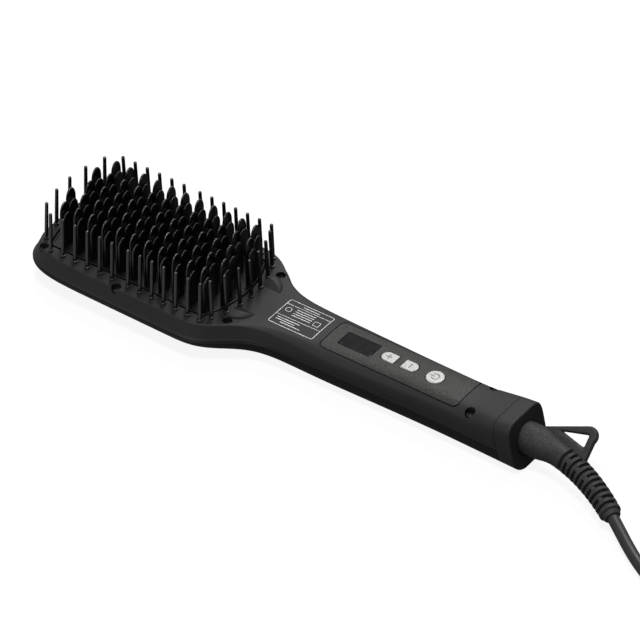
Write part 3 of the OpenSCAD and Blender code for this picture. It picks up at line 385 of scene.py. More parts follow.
def make_materials():
    """Every finish of the brush, by the record's slot name."""
    return {
        "shell_black": abs_shell_black(),
        # The back is a darker copy of the shell's ABS: painted shade on the belly.
        "back_black": abs_back_black_shaded(),
        "panel_dark": panel_flecked(),
        "display_gloss": smoked_acrylic(),
        "led_block": moulded_plastic("ABS moulded white, light box", "#9d9d98", "#b0b0ab", 0.6),
        "button_silver": key_silver(),
        "switch_grey": moulded_plastic("Nylon moulded grey, switch", "#38383a", "#464648", 0.5),
        "board_green": moulded_plastic("Solder mask over glass fibre", "#174028", "#1f5535", 0.4, 2.0),
        "board_brown": moulded_plastic("Phenolic paper laminate", "#785c30", "#94753f", 0.55, 2.0),
        "coated_metal": coated_aluminium(),
        "comb_black": nylon_black("Nylon glass-filled black, leaves", "#060708", "#0a0b0d", 0.17),
        "pin_black": nylon_black("Nylon black, guard pins", "#070707", "#0b0b0b", 0.2),
        "ceramic": moulded_plastic("Alumina ceramic, unglazed", "#c9c4b6", "#dcd7ca", 0.75, 0.5, 0.02),
        "steel": metal("Sheet steel, zinc plated", "#9a9da0", "#b4b7ba", 0.38, 0.8, (0.1, 1, 1)),
        "mica": moulded_plastic("Mica sheet, layered", "#b09f78", "#d2c39d", 0.5, 3.0),
        "tray_black": moulded_plastic("PBT moulded black, tray", "#181818", "#222222", 0.55),
        "bead_brown": moulded_plastic("Epoxy bead, dipped", "#5e2217", "#7c3222", 0.3, 1.0),
        "resin_black": moulded_plastic("Epoxy potting, black", "#101014", "#1a1a20", 0.35, 2.0),
        "wire_red": moulded_plastic("Silicone sleeve, red", "#8d1d1d", "#a92727", 0.5, 0.8),
        "wire_white": moulded_plastic("Silicone sleeve, white", "#cfcabf", "#e2ded4", 0.5, 0.8),
        "wire_blue": moulded_plastic("PVC wire, blue", "#26437f", "#335599", 0.45, 0.8),
        "screw_black": metal("Screw steel, blackened", "#161616", "#242424", 0.45),
        "brass": metal("Brass, turned", "#a9863a", "#c9a552", 0.3, 0.6, (1, 0.1, 1)),
        "guard_rubber": grained_rubber(),
        "cord_pvc": cord_vinyl(),
        "tie_black": moulded_plastic("Nylon strap, woven black", "#171717", "#242424", 0.6, 0.8, 0.03),
        "blade_nickel": metal("Brass blades, nickel plated", "#b9b8b2", "#d0cfca", 0.22, 0.7, (0.1, 1, 1)),
    }


# ---- shape of the body, as the solids have it but with finer steps ----


def smooth_through(stations, u):
    """A smooth curve through (place, value) stations, level at the first one."""
    if u <= stations[0][0]:
        return stations[0][1]

    def slope(i):
        a, b = max(0, i - 1), min(len(stations) - 1, i + 1)
        return (stations[b][1] - stations[a][1]) / (stations[b][0] - stations[a][0])

    i = 0
    while i < len(stations) - 2 and u > stations[i + 1][0]:
        i += 1
    (u0, v0), (u1, v1) = stations[i], stations[i + 1]
    span = u1 - u0
    t = min(1.0, (u - u0) / span)
    start = 0.0 if i == 0 else slope(i)
    return ((2 * t ** 3 - 3 * t ** 2 + 1) * v0 + (t ** 3 - 2 * t ** 2 + t) * span * start
            + (3 * t ** 2 - 2 * t ** 3) * v1 + (t ** 3 - t ** 2) * span * slope(i + 1))


END_U = TAIL_U + 8                      # the handle is drawn this far and then cut by the end face
BLEND_U, BLEND_L = 45, 65               # where the head's section turns into the handle's
GRIP_U, FLARE_L = 80, 43
SHOULDER_TURN, SHOULDER_POWER = 2.456, 3.6
CROWN_POWER, TAIL_POWER = 3.3, 1.7      # squareness of the crown, and what the tail adds to it
BELLY_POWER, BELLY_MORE = 2, 0.75       # the same for the belly, under the head and under the handle
# Heights of the top along the handle, and where the grip is at its slimmest.
TOP_LINE = [(60, DECK_Z), (DISPLAY_U, GRIP_Z), (POWER_U, BUTTON_Z), (TAIL_U - 29.4, BUTTON_Z + 0.7),
            (TAIL_U - 3.4, TAIL_Z), (END_U, TAIL_Z + 1.6)]
SLIM_U = TAIL_U - 37.4
CROWN_ANGLES = [0, 10, 20, 30, 40, 50, 59, 67, 75, 81, 86]  # of the points round the crown
FLAT_SHARES = [1, 0.78, 0.55, 0.32, 0.15, 0.04]             # places over the deck, of its half width
BELLY_CUT = math.radians(77)                                # how far the belly follows its curve


def top_z(u):
    return smooth_through(TOP_LINE, u)


def half_width(u):
    """Half of the body's width: the grip, and the head's extra width that fades over the shoulder."""
    grip = (NECK_W / 2 - (NECK_W - GRIP_W) / 2 * float(ramp((u - GRIP_U) / (SLIM_U - GRIP_U)))
            + TAIL_FLARE * max(0.0, (u - SLIM_U) / FLARE_L) ** 1.5)
    if u <= SHOULDER_U:
        shoulder = 1.0
    elif u >= NECK_U:
        shoulder = 0.0
    else:
        shoulder = 1 / (1 + (SHOULDER_TURN * (u - SHOULDER_U) / (NECK_U - u)) ** SHOULDER_POWER)
    return grip + (HEAD_W / 2 - grip) * shoulder


def body_width(u):
    return HEAD_W / 2 if u <= TIP_C else half_width(u)


def neck_share(u):
    """0 over the head, 1 over the handle, and a smooth change between them."""
    return float(ramp((u - BLEND_U) / BLEND_L))


def deck_point(j, w, h):
    """Half section of the head: a leaning side, a rounded edge and a flat deck, for j from 0 to 11."""
    inner = w - DRAFT - EDGE_R
    if j <= 2:
        share = j / 2
        return w - share * DRAFT, share * (h - EDGE_R)
    if j <= 6:
        a = math.radians(22.5 * (j - 2))
        return inner + EDGE_R * math.cos(a), h - EDGE_R + EDGE_R * math.sin(a)
    return inner * float(np.interp(j - 6, range(6), FLAT_SHARES)), h


def crown_point(j, w, h, n):
    """Half section of the handle: a rounded crown, for j from 0 to 11."""
    a = math.radians(float(np.interp(j, range(11), CROWN_ANGLES)))
    across, up = math.cos(a) ** (2 / n), math.sin(a) ** (2 / n)
    past = max(0, j - 10)
    return w * across + (0.04 * w - w * across) * past, h * up + h * (1 - up) * past


def upper_point(j, u, w, h):
    """Half section anywhere: the head's flat deck turns into the handle's crown over the neck."""
    t = neck_share(u)
    n = CROWN_POWER + TAIL_POWER * float(ramp((u - TAIL_U + 31.4) / 22))
    a, b = deck_point(j, w, h), crown_point(j, w, h, n)
    return a[0] + t * (b[0] - a[0]), a[1] + t * (b[1] - a[1])


def upper_vertex(column, j, inset=0.0, drop=0.0):
    """A point of the upper shell, for j from the parting line at 0 to the middle of the top at 11."""
    u, side, reach_share, width_share = column
    w = body_width(u) - inset
    h = top_z(u) - inset - SEAM_Z
    p = upper_point(j, u, w, h)
    rim = upper_point(6, u, w, h)
    reach = TIP_R - inset
    r = reach - (w - p[0]) if j <= 6 else (reach - (w - rim[0])) * p[0] / rim[0]
    return (u - r * reach_share, side * width_share * p[0], SEAM_Z + p[1] - (drop if j == 0 else 0))


def lower_vertex(column, share, inset=0.0, drop=0.0):
    """A point of the belly, for a share of the way from the parting line down to the floor."""
    u, side, reach_share, width_share = column
    w = body_width(u) - inset
    depth = SEAM_Z + 0.3 - inset
    s = (SEAM_Z - inset) / depth * math.sin(BELLY_CUT * share) / math.sin(BELLY_CUT)
    p = BELLY_POWER + BELLY_MORE * neck_share(u)
    y = w * (1 - s ** p) ** (1 / p)
    r = (TIP_R - inset) * (1 - s ** 3) ** (1 / 3)
    return (u - r * reach_share, side * width_share * y, SEAM_Z - depth * s + (drop if share == 0 else 0))


def tip_shares(steps=14):
    """The round tip's outline, as shares of its reach and of the half width."""
    middle = 0.5 ** (1 / TIP_SQUARE)

    def other(a):
        return (1 - a ** TIP_SQUARE) ** (1 / TIP_SQUARE)

    rising = [middle * math.sin(math.pi / 2 * i / steps) for i in range(1, steps + 1)]
    return [(other(a), a) for a in rising] + [(a, other(a)) for a in reversed(rising[:-1])]


def columns(stations, tip):
    """Places round the outline, from the near side of the handle round the tip to the far side."""
    near = [(u, -1, 0, 1) for u in reversed(stations)]
    far = [(u, 1, 0, 1) for u in stations]
    if not tip:
        return near + far
    shares = tip_shares()
    return (near + [(TIP_C, -1, *s) for s in reversed(shares)] + [(TIP_C, 1, 1, 0)]
            + [(TIP_C, 1, *s) for s in shares] + far)


def bands(n, m, count):
    """Quads that join count of m rows, each a loop of n points, to the row after it."""
    return [(j * n + i, j * n + (i + 1) % n, (j + 1) % m * n + (i + 1) % n, (j + 1) % m * n + i)
            for j in range(count) for i in range(n)]


def loft(rows):
    """A closed mesh over rows of equal length. Each row is a loop, and the first and last get caps."""
    n, m = len(rows[0]), len(rows)
    faces = bands(n, m, m - 1)
    for base, turn in ((0, True), ((m - 1) * n, False)):
        for i in range(n // 2):
            a, b = i, n - 1 - i
            ring = [a, a + 1, b - 1, b] if b - 1 > a + 1 else [a, a + 1, b] if b > a + 1 else []
            if ring:
                faces.append(tuple(base + v for v in (reversed(ring) if turn else ring)))
    return [p for row in rows for p in row], faces


def new_mesh(name, points, faces, place=(0, 0, 0)):
    """A mesh object from points in millimetres, moved by place, with its faces turned outwards."""
    mesh = bpy.data.meshes.new(name)
    mesh.from_pydata([((x + place[0]) * MM, (y + place[1]) * MM, (z + place[2]) * MM) for x, y, z in points],
                     [], faces)
    edit = bmesh.new()
    edit.from_mesh(mesh)
    bmesh.ops.remove_doubles(edit, verts=edit.verts, dist=1e-7)
    bmesh.ops.dissolve_degenerate(edit, edges=edit.edges, dist=1e-8)
    bmesh.ops.recalc_face_normals(edit, faces=edit.faces)
    edit.to_mesh(mesh)
    edit.free()
    return new_object(name, mesh)


ON_BODY = (PAD_X, 0, 0)


def upper_half(name, stations, tip, inset=0.0, drop=0.0, per_step=3, vee=0.0):
    """The body over the parting line as a closed mesh, drawn in by inset and let down below the line by drop.
    vee cuts the lower rim back, for the dark line of the joint."""
    js = [i / per_step for i in range(11 * per_step + 1)]
    cols = columns(stations, tip)
    rows = [[upper_vertex(c, j, inset, drop) for c in cols] for j in js]
    if vee:
        rows[:1] = [[upper_vertex(c, 0, vee) for c in cols], [upper_vertex(c, 0, 0, -vee) for c in cols]]
    return new_mesh(name, *loft(rows), ON_BODY)


def lower_half(name, stations, tip, inset=0.0, drop=0.0, steps=20, vee=0.0):
    """The belly in the same way. Its drop goes up past the line."""
    cols = columns(stations, tip)
    rows = [[lower_vertex(c, i / steps, inset, drop) for c in cols] for i in range(steps, -1, -1)]
    if vee:
        rows[-1:] = [[lower_vertex(c, 0, 0, -vee) for c in cols], [lower_vertex(c, 0, vee) for c in cols]]
    return new_mesh(name, *loft(rows), ON_BODY)


def body_stations(u_end):
    """Places along the body for its sections, closer over the head and shoulder."""
    return [TIP_C, *np.arange(4.0, 88.0, 2.0), *np.arange(90.0, u_end - 1, 4.0), u_end]


def prism(name, outline, low, high, face=lambda u: 0.0):
    """An upright prism over an outline of (u, y) points, between two levels over a face."""
    n = len(outline)
    points = [(u, y, face(u) + level) for level in (low, high) for u, y in outline]
    faces = [tuple(range(n))[::-1], tuple(range(n, 2 * n))]
    faces += [(i, (i + 1) % n, n + (i + 1) % n, n + i) for i in range(n)]
    return new_mesh(name, points, faces, ON_BODY)


def arc(centre, r, a0, a1, steps):
    return [(centre[0] + r * math.cos(math.radians(a0 + (a1 - a0) * i / steps)),
             centre[1] + r * math.sin(math.radians(a0 + (a1 - a0) * i / steps))) for i in range(steps + 1)]


def round_box(x0, x1, y0, y1, r):
    """Outline of a rectangle with round corners."""
    return (arc((x1 - r, y0 + r), r, -90, 0, 6) + arc((x1 - r, y1 - r), r, 0, 90, 6)
            + arc((x0 + r, y1 - r), r, 90, 180, 6) + arc((x0 + r, y0 + r), r, 180, 270, 6))


def disc(centre, d, steps=40):
    return arc(centre, d / 2, 0, 360 - 360 / steps, steps - 1)


def pad_outline(inset):
    """Outline of the pad's opening, drawn in by inset."""
    outline = []
    for side in (1, -1):
        reach_centre = PAD_REACH[side] - PAD_END_R[side]
        r, rc = PAD_END_R[side] - inset, PAD_CORNER - inset
        y0 = PAD_W / 2 - inset - rc
        x0 = reach_centre + math.sqrt((r - rc) ** 2 - y0 * y0)
        a = math.degrees(math.atan2(y0, x0 - reach_centre))
        end = (arc((x0, -y0), rc, -90, -a, 6) + arc((reach_centre, 0), r, -a, a, 24)
               + arc((x0, y0), rc, a, 90, 6))
        outline += [(side * u, side * y) for u, y in end]
    return outline


def cut(piece, tools, operation="DIFFERENCE"):
    """Cuts closed meshes from a piece one after another, and removes them."""
    for tool in tools:
        change = piece.modifiers.new("cut", "BOOLEAN")
        change.operation, change.solver, change.object = operation, "MANIFOLD", tool
        bake_modifiers(piece)
        bpy.data.objects.remove(tool)
    return piece


def bake_modifiers(piece):
    """Replaces a piece's mesh by the result of its modifiers."""
    bpy.context.view_layer.update()
    graph = bpy.context.evaluated_depsgraph_get()
    mesh = bpy.data.meshes.new_from_object(piece.evaluated_get(graph))
    piece.modifiers.clear()
    piece.data = mesh


def end_cutter():
    """A block beyond the plane where the end cap starts, which leans like the end face."""
    points = []
    for z in (-5.0, 45.0):
        near_u = TAIL_U - CAP_L - END_LEAN * z
        points += [(near_u, -60, z), (near_u, 60, z), (near_u + 60, 60, z), (near_u + 60, -60, z)]
    faces = [(0, 1, 2, 3), (7, 6, 5, 4), (0, 4, 5, 1), (1, 5, 6, 2), (2, 6, 7, 3), (3, 7, 4, 0)]
    return new_mesh("cutter", points, faces, ON_BODY)


def mirrored(places):
    return [(u, side * y) for u, y in places for side in (-1, 1)]


def shade(piece, angle=32):
    """Smooth shading, broken where faces meet at more than the angle."""
    edit = bmesh.new()
    edit.from_mesh(piece.data)
    for face in edit.faces:
        face.smooth = True
    limit = math.radians(angle)
    for edge in edit.edges:
        edge.smooth = len(edge.link_faces) != 2 or edge.calc_face_angle(0) < limit
    edit.to_mesh(piece.data)
    edit.free()
    weight = piece.modifiers.new("weight", "WEIGHTED_NORMAL")
    weight.keep_sharp = True
    weight.weight = 80
    bake_modifiers(piece)
    return piece


def dress(piece, slot, body=BRUSH, replaces=(), finish=None):
    """Gives a piece its finish, which is its slot's unless one is given, its body and its nodes."""
    piece.data.materials.clear()
    piece.data.materials.append(finish or finishes[slot])
    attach(piece, body)
    if replaces:
        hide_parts(*replaces)
    return piece


# ---- shells ----


def screw_top(u):
    """Height of the face round a screw's well. The handle's wells sit lower, on the side of the crown."""
    return top_z(u) - (1.35 if u > NECK_U else 0)


def key_outline(side, grow):
    """Outline of the plus or minus key: straight towards the other key, round at its far end."""
    r, c = KEY_W / 2 + grow, KEY_L - KEY_W / 2
    shape = [(-grow, -r), (-grow, r)] + arc((c, 0), r, 90, -90, 24)
    return [(KEY_U + side * (KEY_SPACE / 2 + u), y) for u, y in shape]


def power_outline(grow):
    return disc((POWER_U, 0), POWER_D + 2 * grow, 48)


def panel_outline(grow):
    half = PANEL_W / 2 + grow
    return round_box(PANEL_U - grow, PANEL_U + PANEL_L + grow, -half, half, PANEL_CORNER)


def display_outline(grow):
    half = DISPLAY_W / 2 + grow
    return round_box(DISPLAY_U - grow, DISPLAY_U + DISPLAY_L + grow, -half, half, DISPLAY_CORNER)


def key_cutters(grow):
    outlines = [key_outline(-1, grow), key_outline(1, grow), power_outline(grow)]
    return [prism("cutter", outline, SEAM_Z, TAIL_Z + 5) for outline in outlines]


def handle_skin(inset):
    """The handle's upper half, drawn in by inset."""
    return upper_half("cutter", [*np.arange(90.0, END_U - 1, 4.0), END_U], False, inset)


def make_top_shell():
    shell = upper_half("top_shell_skin", body_stations(END_U), True, vee=SEAM_VEE)
    recess = cut(prism("cutter", panel_outline(PANEL_GAP), SEAM_Z + 2, TAIL_Z + LONG), [handle_skin(PANEL_T)])
    wells = [prism("cutter", disc(p, WELL_D), screw_top(p[0]) - WELL_DEEP, DECK_Z + LONG)
             for p in mirrored(SCREW_AT)]
    holes = [prism("cutter", disc(p, SCREW_HOLE_D, 24), SEAM_Z - 3, DECK_Z + 1) for p in mirrored(SCREW_AT)]
    pad = prism("cutter", pad_outline(0), SEAM_Z - 3, DECK_Z + LONG)
    inside = upper_half("cutter", body_stations(END_U), True, WALL, 1.0, 1)
    cut(shell, [inside, recess, pad, end_cutter(), *wells, *holes, *key_cutters(KEY_GAP)])
    return dress(shade(shell), "shell_black", replaces=["top_shell"])


def make_bottom_shell():
    shell = lower_half("bottom_shell_skin", body_stations(END_U), True, vee=SEAM_VEE)
    cut(shell, [lower_half("cutter", body_stations(END_U), True, WALL, 1.0, 6), end_cutter()])
    # The back's darker finish is painted shade on the belly.
    return dress(shade(shell), "back_black", replaces=["bottom_shell"])


def leaning(foot, point_at):
    """Slides a point of the body along u until it lies in a plane that leans like the end face."""
    u = foot
    for _ in range(6):
        u = foot - END_LEAN * point_at(u)[2]
    return point_at(u)


def body_ring(foot, inset):
    """The body's outline in a leaning plane: over the crown to the far side and back under the belly."""
    crown = [i / 2 for i in range(23)]
    ring = [leaning(foot, lambda u: upper_vertex((u, -1, 0, 1), j, inset)) for j in crown]
    ring += [leaning(foot, lambda u: upper_vertex((u, 1, 0, 1), j, inset)) for j in reversed(crown)]
    belly = [i / 10 for i in range(1, 11)]
    ring += [leaning(foot, lambda u: lower_vertex((u, 1, 0, 1), s, inset)) for s in belly]
    ring += [leaning(foot, lambda u: lower_vertex((u, -1, 0, 1), s, inset)) for s in reversed(belly)]
    return ring


def hole_ring(foot, r, outline):
    """A round hole in a leaning plane, with one point for each point of the outline."""
    ring = []
    for _, y, z in outline:
        a = math.atan2(z - SWIVEL_Z, y)
        high = SWIVEL_Z + r * math.sin(a)
        ring.append((foot - END_LEAN * high, r * math.cos(a), high))
    return ring


def closed_loft(name, rows, place=(0, 0, 0)):
    """A ring-shaped mesh: every row is a loop, and the last row joins the first."""
    n, m = len(rows[0]), len(rows)
    return new_mesh(name, [p for row in rows for p in row], bands(n, m, m), place)


def quarter(r, steps=4):
    """A quarter circle's (forward, inward) offsets, from the side round to the front."""
    turns = [math.pi / 2 * i / steps for i in range(steps + 1)]
    return [(r * math.sin(a) - r, r - r * math.cos(a)) for a in turns]


def make_end_cap():
    """The cap: a small vee at its joint, a rounded rim, the slanted face and the round hole."""
    start, edge, wall = TAIL_U - CAP_L, 0.75, 2.6
    hole = OUTLET_D / 2
    rows = [body_ring(start, 0.35), body_ring(start + 0.25, 0)]
    rows += [body_ring(start + CAP_L * k / 5, 0) for k in (1, 2, 3, 4)]
    rows += [body_ring(TAIL_U + ahead, inward) for ahead, inward in quarter(edge)]
    face = rows[-1]
    rows += [hole_ring(TAIL_U - back, hole + more, face)
             for back, more in ((0, 0.35), (0.1, 0.1), (0.35, 0), (wall, 0))]
    rows += [body_ring(TAIL_U - wall, WALL), body_ring(start, WALL)]
    cap = closed_loft("end_cap_skin", rows, ON_BODY)
    return dress(shade(cap), "shell_black", replaces=["end_cap"])


# ---- controls ----


def inlay(name, outline, top_inset, bottom_inset, tools=()):
    """A sheet that follows the handle's crown, between two depths and within an outline."""
    sheet = prism(name, outline, SEAM_Z + 2, TAIL_Z + 5)
    cut(sheet, [handle_skin(top_inset)], "INTERSECT")
    return cut(sheet, [handle_skin(bottom_inset), *tools])


def soften(piece, width_mm, angle=50):
    """Rounds the sharp edges of a finished piece a little, so that they catch light."""
    bevel = piece.modifiers.new("bevel", "BEVEL")
    bevel.width, bevel.segments = width_mm * MM, 2
    bevel.limit_method, bevel.angle_limit = "ANGLE", math.radians(angle)
    bake_modifiers(piece)
    return piece


def make_panel():
    opening = prism("cutter", display_outline(GROOVE), SEAM_Z, TAIL_Z + 5)
    panel = inlay("control_panel_skin", panel_outline(-GROOVE), 0.0, PANEL_T - 0.02,
                  [opening, *key_cutters(KEY_GROOVE)])
    return dress(shade(soften(panel, 0.1)), "panel_dark", replaces=["control_panel"])


def make_display():
    window = inlay("display_window_glass", display_outline(0), 0.07, PANEL_T - 0.1)
    return dress(shade(soften(window, 0.08)), "display_gloss", replaces=["display_window"])


def slope_at(u):
    return (top_z(u + 1) - top_z(u - 1)) / 2


def key_face(u):
    """Height of a key's face at any place, for the key in whose middle the crown is at u."""
    return lambda x: top_z(u) + KEY_PROUD + slope_at(u) * (x - u)


SIGN_REACH, STROKE = 1.55, 0.28     # half length and half width of a sign's bars
RING_OUT, RING_IN, BAR_W = 2.1, 1.6, 0.25


def plus_sign(at):
    a, b = SIGN_REACH, STROKE
    return [[(at + u, y) for u, y in [(a, -b), (a, b), (b, b), (b, a), (-b, a), (-b, b), (-a, b), (-a, -b),
                                      (-b, -b), (-b, -a), (b, -a), (b, -b)]]]


def minus_sign(at):
    a, b = SIGN_REACH, STROKE
    return [[(at - b, -a), (at + b, -a), (at + b, a), (at - b, a)]]


def power_sign(at):
    """A ring open towards the display, and a bar in its gap."""
    ring = arc((at, 0), RING_OUT, -140, 140, 28) + arc((at, 0), RING_IN, 140, -140, 28)
    return [ring, [(at - 2.6, -BAR_W), (at - 0.4, -BAR_W), (at - 0.4, BAR_W), (at - 2.6, BAR_W)]]


def make_key(name, outline_of, middle, sign, body):
    """A key with a rounded rim, its sign engraved, and grey ink at the bottom of the engraving."""
    face = key_face(middle)
    rim, deep, sunk = 0.45, 0.26, 0.2
    steps = [(-3.0, 0.0)] + [(forward, -inward) for forward, inward in quarter(rim)]
    rows = [[(u, y, face(u) + level) for u, y in outline_of(grow)] for level, grow in steps]
    key = new_mesh(name + "_key", *loft(rows), ON_BODY)
    cut(key, [prism("cutter", outline, -deep, 1.0, face) for outline in sign])
    dress(shade(key), "button_silver", body, [name])
    for number, outline in enumerate(sign):
        ink = prism(f"{name}_sign_{number + 1}", outline, -deep, -sunk, face)
        dress(ink, "switch_grey", body, finish=printed_grey)


def make_keys():
    reach = (KEY_SPACE + KEY_L) / 2
    plus_u, minus_u = KEY_U - reach, KEY_U + reach
    make_key("plus_button", partial(key_outline, -1), plus_u, plus_sign(plus_u), "plus_key")
    make_key("minus_button", partial(key_outline, 1), minus_u, minus_sign(minus_u), "minus_key")
    make_key("power_button", power_outline, POWER_U, power_sign(POWER_U), "power_key")


# ---- printed frame on the neck, with plain ruled lines ----


INK_T = 0.03


def skin_z(u, y):
    """Height of the upper shell over a place."""
    section = [upper_point(j / 8, u, half_width(u), top_z(u) - SEAM_Z) for j in range(89)]
    section.reverse()
    return SEAM_Z + float(np.interp(abs(y), [p[0] for p in section], [p[1] for p in section]))


def printed_line(points, width, closed=False):
    """Corners and faces of a ribbon that lies on the shell along a path."""
    n = len(points)
    left, right = [], []
    for i, p in enumerate(points):
        a = points[(i - 1) % n] if closed or i else p
        b = points[(i + 1) % n] if closed or i < n - 1 else p
        along = Vector((b[0] - a[0], b[1] - a[1])).normalized()
        for side, sign in ((left, 1), (right, -1)):
            u, y = p[0] - sign * along.y * width / 2, p[1] + sign * along.x * width / 2
            side.append((u, y, skin_z(u, y) + INK_T))
    count = n if closed else n - 1
    faces = [(i, (i + 1) % n, n + (i + 1) % n, n + i) for i in range(count)]
    return left + right, faces


def straight(u0, y0, u1, y1, steps=14):
    return [(u0 + (u1 - u0) * i / steps, y0 + (y1 - y0) * i / steps) for i in range(steps + 1)]


def rounded_frame(u0, u1, y0, y1, r):
    """Outline of the frame: straight sides in steps, so that it follows the shell, and round corners."""
    return (straight(u0 + r, y0, u1 - r, y0) + arc((u1 - r, y0 + r), r, -90, 0, 5)[1:]
            + straight(u1, y0 + r, u1, y1 - r)[1:] + arc((u1 - r, y1 - r), r, 0, 90, 5)[1:]
            + straight(u1 - r, y1, u0 + r, y1)[1:] + arc((u0 + r, y1 - r), r, 90, 180, 5)[1:]
            + straight(u0, y1 - r, u0, y0 + r)[1:] + arc((u0 + r, y0 + r), r, 180, 265, 5)[1:])


def make_printed_frame():
    """The frame, its two dividers, a ring and a square, and ruled lines where the real one has words."""
    u0, u1, y0, y1 = 68.6, 93.4, -9.1, 9.1
    upper, lower = 5.9, -2.6
    lines = [(rounded_frame(u0, u1, y0, y1, 1.0), 0.3, True),
             (straight(u0, upper, u1, upper), 0.25, False), (straight(u0, lower, u1, lower), 0.25, False),
             (disc((72.0, 2.4), 3.0, 28), 0.25, True),
             (rounded_frame(87.6, 90.6, -0.9, 2.1, 0.3), 0.25, True)]
    ruled = [(77.0, 86.0, 7.4)] + [(75.5, 86.0, y) for y in (4.3, 2.8, 1.3, -0.2)]
    ruled += [(70.6, 83.0, -4.3), (70.6, 81.0, -5.7), (74.0, 85.0, -7.1)]
    lines += [(straight(a, y, b, y), 0.4, False) for a, b, y in ruled]
    points, faces = [], []
    for path, width, closed in lines:
        more, corners = printed_line(path, width, closed)
        faces += [tuple(len(points) + v for v in face) for face in corners]
        points += more
    frame_print = new_mesh("printed_frame", points, faces, ON_BODY)
    for face in frame_print.data.polygons:
        if face.normal.z < 0:
            face.flip()
    dress(frame_print, "button_silver", finish=printed_white)


# ---- repeats, made by node trees with named inputs ----


def new_tree(name, inputs):
    """An empty geometry tree with a geometry in and out, and named inputs: (name, socket type, value)."""
    tree = bpy.data.node_groups.new(name, "GeometryNodeTree")
    tree.interface.new_socket("Geometry", in_out="INPUT", socket_type="NodeSocketGeometry")
    for label, kind, value in inputs:
        socket = tree.interface.new_socket(label, in_out="INPUT", socket_type=kind)
        if value is not None:
            socket.default_value = value
    tree.interface.new_socket("Geometry", in_out="OUTPUT", socket_type="NodeSocketGeometry")
    start = add(tree, "NodeGroupInput")
    end = add(tree, "NodeGroupOutput")
    return tree, start.outputs, end.inputs["Geometry"]


def repeat_on(tree, points, given, rotation=None):
    """Instances of the Piece input on points, realized and with the Finish input as material."""
    piece = add(tree, "GeometryNodeObjectInfo", {"Object": given["Piece"], "As Instance": True})
    instance = piece.outputs["Geometry"]
    placed = add(tree, "GeometryNodeInstanceOnPoints", {"Points": points, "Instance": instance})
    if rotation:
        tree.links.new(rotation, placed.inputs["Rotation"])
    real = add(tree, "GeometryNodeRealizeInstances", {"Geometry": placed.outputs["Instances"]})
    return add(tree, "GeometryNodeSetMaterial", {"Geometry": real.outputs[0], "Material": given["Finish"]})


def tooth_tree():
    """Five rows of teeth. Every second row has one tooth more and is shifted by half a pitch."""
    tree, given, end = new_tree("tooth_rows", [
        ("Piece", "NodeSocketObject", None), ("Finish", "NodeSocketMaterial", None),
        ("Pitch", "NodeSocketFloat", TOOTH_PITCH * MM), ("Row spacing", "NodeSocketFloat", ROW_PITCH * MM),
        ("Teeth", "NodeSocketInt", ROW_TEETH + 1), ("Rows", "NodeSocketInt", ROWS),
        ("Outer drop", "NodeSocketFloat", 0.0)])
    plus, minus, times, over, above = (
        partial(maths, tree, kind) for kind in ("ADD", "SUBTRACT", "MULTIPLY", "DIVIDE", "GREATER_THAN"))
    teeth, rows = given["Teeth"], given["Rows"]
    places = add(tree, "GeometryNodePoints", {"Count": times(teeth, rows)})
    index = add(tree, "GeometryNodeInputIndex").outputs[0]
    row = maths(tree, "FLOOR", over(plus(index, 0.5), teeth))
    tooth = minus(index, times(row, teeth))
    long_row = maths(tree, "MODULO", row, 2.0)
    last = minus(teeth, minus(2.0, long_row))
    along = times(minus(tooth, over(last, 2.0)), given["Pitch"])
    middle = over(minus(rows, 1.0), 2.0)
    from_middle = minus(row, middle)
    across = times(from_middle, given["Row spacing"])
    outer = above(maths(tree, "ABSOLUTE", from_middle), minus(middle, 0.5))
    down = times(times(outer, given["Outer drop"]), -1.0)
    place = add(tree, "ShaderNodeCombineXYZ", {"X": along, "Y": across, "Z": down}).outputs[0]
    set_place = add(tree, "GeometryNodeSetPosition", {"Geometry": places.outputs[0], "Position": place})
    spare = above(tooth, plus(last, 0.5))
    kept = add(tree, "GeometryNodeDeleteGeometry", {"Geometry": set_place.outputs[0], "Selection": spare},
               domain="POINT")
    tree.links.new(repeat_on(tree, kept.outputs[0], given).outputs[0], end)
    return tree


def leaning_tree():
    """A piece on each point of a mesh, turned by the point's own angles."""
    tree, given, end = new_tree("pieces_on_points", [
        ("Piece", "NodeSocketObject", None), ("Finish", "NodeSocketMaterial", None)])
    angles = add(tree, "GeometryNodeInputNamedAttribute", {"Name": "turn"}, data_type="FLOAT_VECTOR")
    turn = add(tree, "FunctionNodeEulerToRotation", {"Euler": angles.outputs["Attribute"]})
    pieces = repeat_on(tree, given["Geometry"], given, turn.outputs[0])
    tree.links.new(pieces.outputs[0], end)
    return tree


def grow(name, tree, base, **values):
    """Runs a tree on a base mesh and keeps the result as a plain mesh."""
    piece = new_object(name, base)
    change = piece.modifiers.new("repeat", "NODES")
    change.node_group = tree
    sockets = {s.name: s.identifier for s in tree.interface.items_tree if s.in_out == "INPUT"}
    for label, value in values.items():
        change[sockets[label.replace("_", " ")]] = value
    bake_modifiers(piece)
    return piece


def lathe(name, profile, steps=24):
    """A mesh turned round the upright axis, from (radius, height) points. Radii of 0 close it."""
    turns = [math.tau * i / steps for i in range(steps)]
    rows = [[(max(r, 1e-4) * math.cos(a), max(r, 1e-4) * math.sin(a), z) for a in turns] for r, z in profile]
    return new_mesh(name, *loft(rows))


def arch(w, low, high, rise, steps=16):
    """Outline of a tooth seen along the handle: straight sides and a high round top, as (y, z) points."""
    turns = [math.pi * i / steps for i in range(steps + 1)]
    top = [(w / 2 * math.cos(a), high - rise + rise * math.sin(a)) for a in turns]
    return [(-w / 2, low), (w / 2, low)] + top


